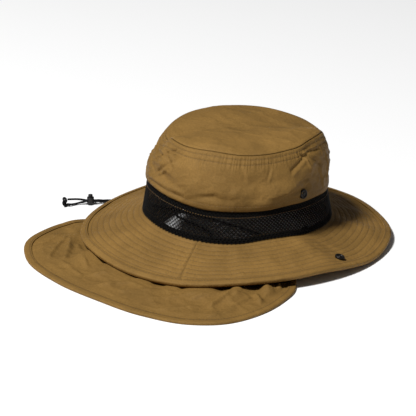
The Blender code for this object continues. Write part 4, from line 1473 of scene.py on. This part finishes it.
def hole_size():
    """Width and height of the slot that both runs of the cord pass through."""
    width = 2 * CORD_DIAMETER + GAP + 2 * LOCK_HOLE_CLEARANCE
    return width, CORD_DIAMETER + 2 * LOCK_HOLE_CLEARANCE


def bore_floor():
    return LOCK_HOLE_HEIGHT + hole_size()[1] / 2 + LOCK_ROOF


def make_button(finish):
    """Button with a dished top, on the barrel's axis."""
    low, roll = bore_floor() + GAP + BUTTON_STROKE, 0.0005
    profile = [(share * BUTTON_RADIUS, low) for share in (0, 0.6, 1)]
    profile += [(BUTTON_RADIUS, low + 0.001)]
    profile += arc_profile(BUTTON_RADIUS - roll, BUTTON_TOP - roll, roll, 0, 90)
    dish = ((0.6, 0.0002), (0.3, 0.0004), (0, 0.0004))
    profile += [(share * BUTTON_RADIUS, BUTTON_TOP - deep) for share, deep in dish]
    obj = turned("cord_lock_push_button", profile, 48)
    obj.data.transform(Matrix.Translation(Vector(lock_point(0, 0, GAP / 2) + HEAD)))
    return finish_piece(obj, finish, ["cord_lock_button"], body="lock_button")


def make_cords(braid, plastic, button_plastic):
    """Both runs of the chin cord, their knot and their lock."""
    knot = braided_tube("cord_end_knot", knot_path(KNOT_STEPS), closed=True)
    finish_piece(knot, braid, ["cord_knot"])
    fittings = [knot, make_lock(plastic), make_button(button_plastic)]
    for side in ("left", "right"):
        path, length = resample(cord_route(side), CORD_STEPS)
        cord = braided_tube(f"braided_cord_{side}", path)
        finish_piece(cord, braid, [f"chin_cord_{side}"])


def point_on_view(angle, rise, distance):
    turn, up = math.radians(angle), math.radians(rise)
    flat = math.cos(up)
    return Vector((math.sin(turn) * flat, -math.cos(turn) * flat, math.sin(up))) * distance


def make_camera():
    data = bpy.data.cameras.new("camera")
    data.lens, data.sensor_width = CAMERA_LENS, SENSOR
    data.clip_start, data.clip_end = 0.05, 20
    camera = bpy.data.objects.new("camera", data)
    target = Vector(np.array(CAMERA_TARGET) + HEAD)
    offset = point_on_view(CAMERA_ANGLE, CAMERA_RISE, CAMERA_DISTANCE)
    camera.location = target + offset
    camera.rotation_euler = offset.to_track_quat("Z", "Y").to_euler()
    bpy.context.scene.collection.objects.link(camera)
    bpy.context.scene.camera = camera


def make_light(name, angle, rise, distance, size, power):
    data = bpy.data.lights.new(name, "AREA")
    data.shape = "DISK"
    data.size, data.energy = size, power
    light = bpy.data.objects.new(name, data)
    offset = point_on_view(angle, rise, distance)
    light.location = Vector(HEAD) + offset
    light.rotation_euler = offset.to_track_quat("Z", "Y").to_euler()
    bpy.context.scene.collection.objects.link(light)


def make_stage():
    bpy.ops.mesh.primitive_plane_add(size=8, location=(0, 0, -0.00005))
    floor = bpy.context.object
    floor.name = "floor"
    finish, tree, where = new_material("floor_paper", (0.94, 0.94, 0.94), 0.95)
    grain = noise_at(tree, where, 0.002, 2.0)
    wire(tree, Base_Color=ramp(tree, grain, [(0.3, (0.93, 0.93, 0.93)), (0.7, (0.95, 0.95, 0.95))]))
    floor.data.materials.append(finish)
    world = bpy.data.worlds.new("studio")
    world.use_nodes = True
    world.node_tree.nodes["Background"].inputs["Color"].default_value = (1, 1, 1, 1)
    world.node_tree.nodes["Background"].inputs["Strength"].default_value = SKY_STRENGTH
    bpy.context.scene.world = world
    bpy.context.scene.view_settings.view_transform = "Standard"
    make_light("key_light", CAMERA_ANGLE - KEY_LEFT, KEY_RISE, KEY_DISTANCE, KEY_SIZE, KEY_POWER)


def lay_cloth(name, surface, wall, finish, replaced, flip=False):
    """One piece of cloth from its surface: the grid, whether it is a ring, and the darkness of its
    seams with any painted shade.
    """
    grid, ring, seam = surface
    obj = cloth_sheet(name, grid, ring, wall, seam, flip)
    return finish_piece(obj, finish, [replaced])


def make_crown():
    """The crown's side with its rows of stitching, and its tip."""
    grid, seam, marks = crown_side_grid()
    side_cloth = nylon("crown_nylon", BROWN)
    surface = (grid, True, seam)
    lay_cloth("crown_cloth", surface, CROWN_WALL, side_cloth, "crown_side")
    up = normals_of(grid, True)
    rows = [(grid[mark], up[mark], True) for mark in marks]
    stitched("crown_stitching", rows, thread("tan_thread", TAN_THREAD))
    grid, seam = crown_top_grid()
    tip_cloth = nylon("tip_nylon", BROWN, 1.02)
    surface = (grid, True, seam)
    lay_cloth("crown_tip_cloth", surface, CROWN_WALL, tip_cloth, "crown_top")


def make_band():
    """The band's open net, folded in double at its top and foot, with one row of stitching."""
    net = black_yarn("band_net", NET_COLOUR, 0.0004, 0.5, 0.06)
    folded_net = black_yarn("folded_net", FOLDED_NET_COLOUR, 0.0006, 0.6, 0.03)
    corners, faces = net_threads()
    obj = bpy.data.objects.new("band_net", mesh_from("band_net", corners + HEAD, faces))
    finish_piece(obj, net, ["mesh_band"])
    folds = {
        "top": (BAND_HEIGHT - BAND_ROW - 0.001, BAND_HEIGHT + 0.8 * BAND_LAP),
        "foot": (0.0003, NET_HEM),
    }
    for part, (low, high) in folds.items():
        obj = cloth_sheet(f"band_net_fold_{part}", band_fold_grid(low, high), True, 0.0002)
        finish_piece(obj, folded_net)
    path, out = band_line(BAND_ROW, NET_DEPTH / 2 + 0.0003)
    stitched("band_stitching", [(path, out, True)], thread("pale_thread", PALE_THREAD))


def make_brim(sewing):
    """The brim with its rows of stitching, and the binding round its edge."""
    grid, seam, marks = brim_grid()
    cloth = nylon("brim_nylon", BROWN, 1.02)
    surface = (grid, True, seam)
    lay_cloth("brim_cloth", surface, BRIM_WALL, cloth, "brim", flip=True)
    up = normals_of(grid, True, -1)
    rows = [(grid[mark], up[mark], True) for mark in marks]
    stitched("brim_stitching", rows, sewing)
    grid, out, seam = strip_relief(brim_edge_grid(), True, ring_angles(720), STRIP_ROWS)
    cloth, wall = nylon("binding_nylon", BROWN, 1.02), BINDING_WALL * 0.9
    surface = (grid, True, seam)
    lay_cloth("brim_edge_cloth", surface, wall, cloth, "brim_binding")
    row = STRIP_ROWS[-1]
    stitched("brim_edge_stitching", [(grid[row], out[row], True)], sewing)


def make_cape(sewing):
    """The neck cape with its stitched hem."""
    cloth, wall = nylon("cape_nylon", BROWN, 0.98), CAPE_WALL * 0.9
    surface = (cape_grid(), False, None)
    cape = lay_cloth("cape_cloth", surface, wall, cloth, "neck_cape", flip=True)
    grid, angle = cape_edge_grid()
    grid, out, seam = strip_relief(grid, False, angle, STRIP_ROWS)
    grid[..., 2] = np.maximum(grid[..., 2], 0.0)
    cloth, wall = nylon("hem_nylon", BROWN, 0.98), HEM_WALL * 0.9
    surface = (grid, False, seam)
    hem = lay_cloth("cape_edge_cloth", surface, wall, cloth, "cape_hem")
    row = STRIP_ROWS[-1]
    sewn = stitched("cape_edge_stitching", [(grid[row], out[row], False)], sewing)


def make_cloth():
    sewing = thread("brown_thread", BROWN_THREAD)
    make_crown()
    make_band()
    make_brim(sewing)
    make_cape(sewing)


def main():
    make_camera()
    braid = black_yarn("cord_braid", CORD_COLOUR, 0.0003, shine=0.09)
    lock_plastic = moulded("lock_plastic", LOCK_COLOUR, 0.42)
    make_cords(braid, lock_plastic, moulded("button_plastic", BUTTON_COLOUR, 0.4))
    make_tabs(black_yarn("tab_webbing", WEBBING_COLOUR, 0.0005))
    make_cloth()
    make_snaps(moulded("snap_metal", SNAP_COLOUR, 0.38, 0.45))
    make_stage()


main()
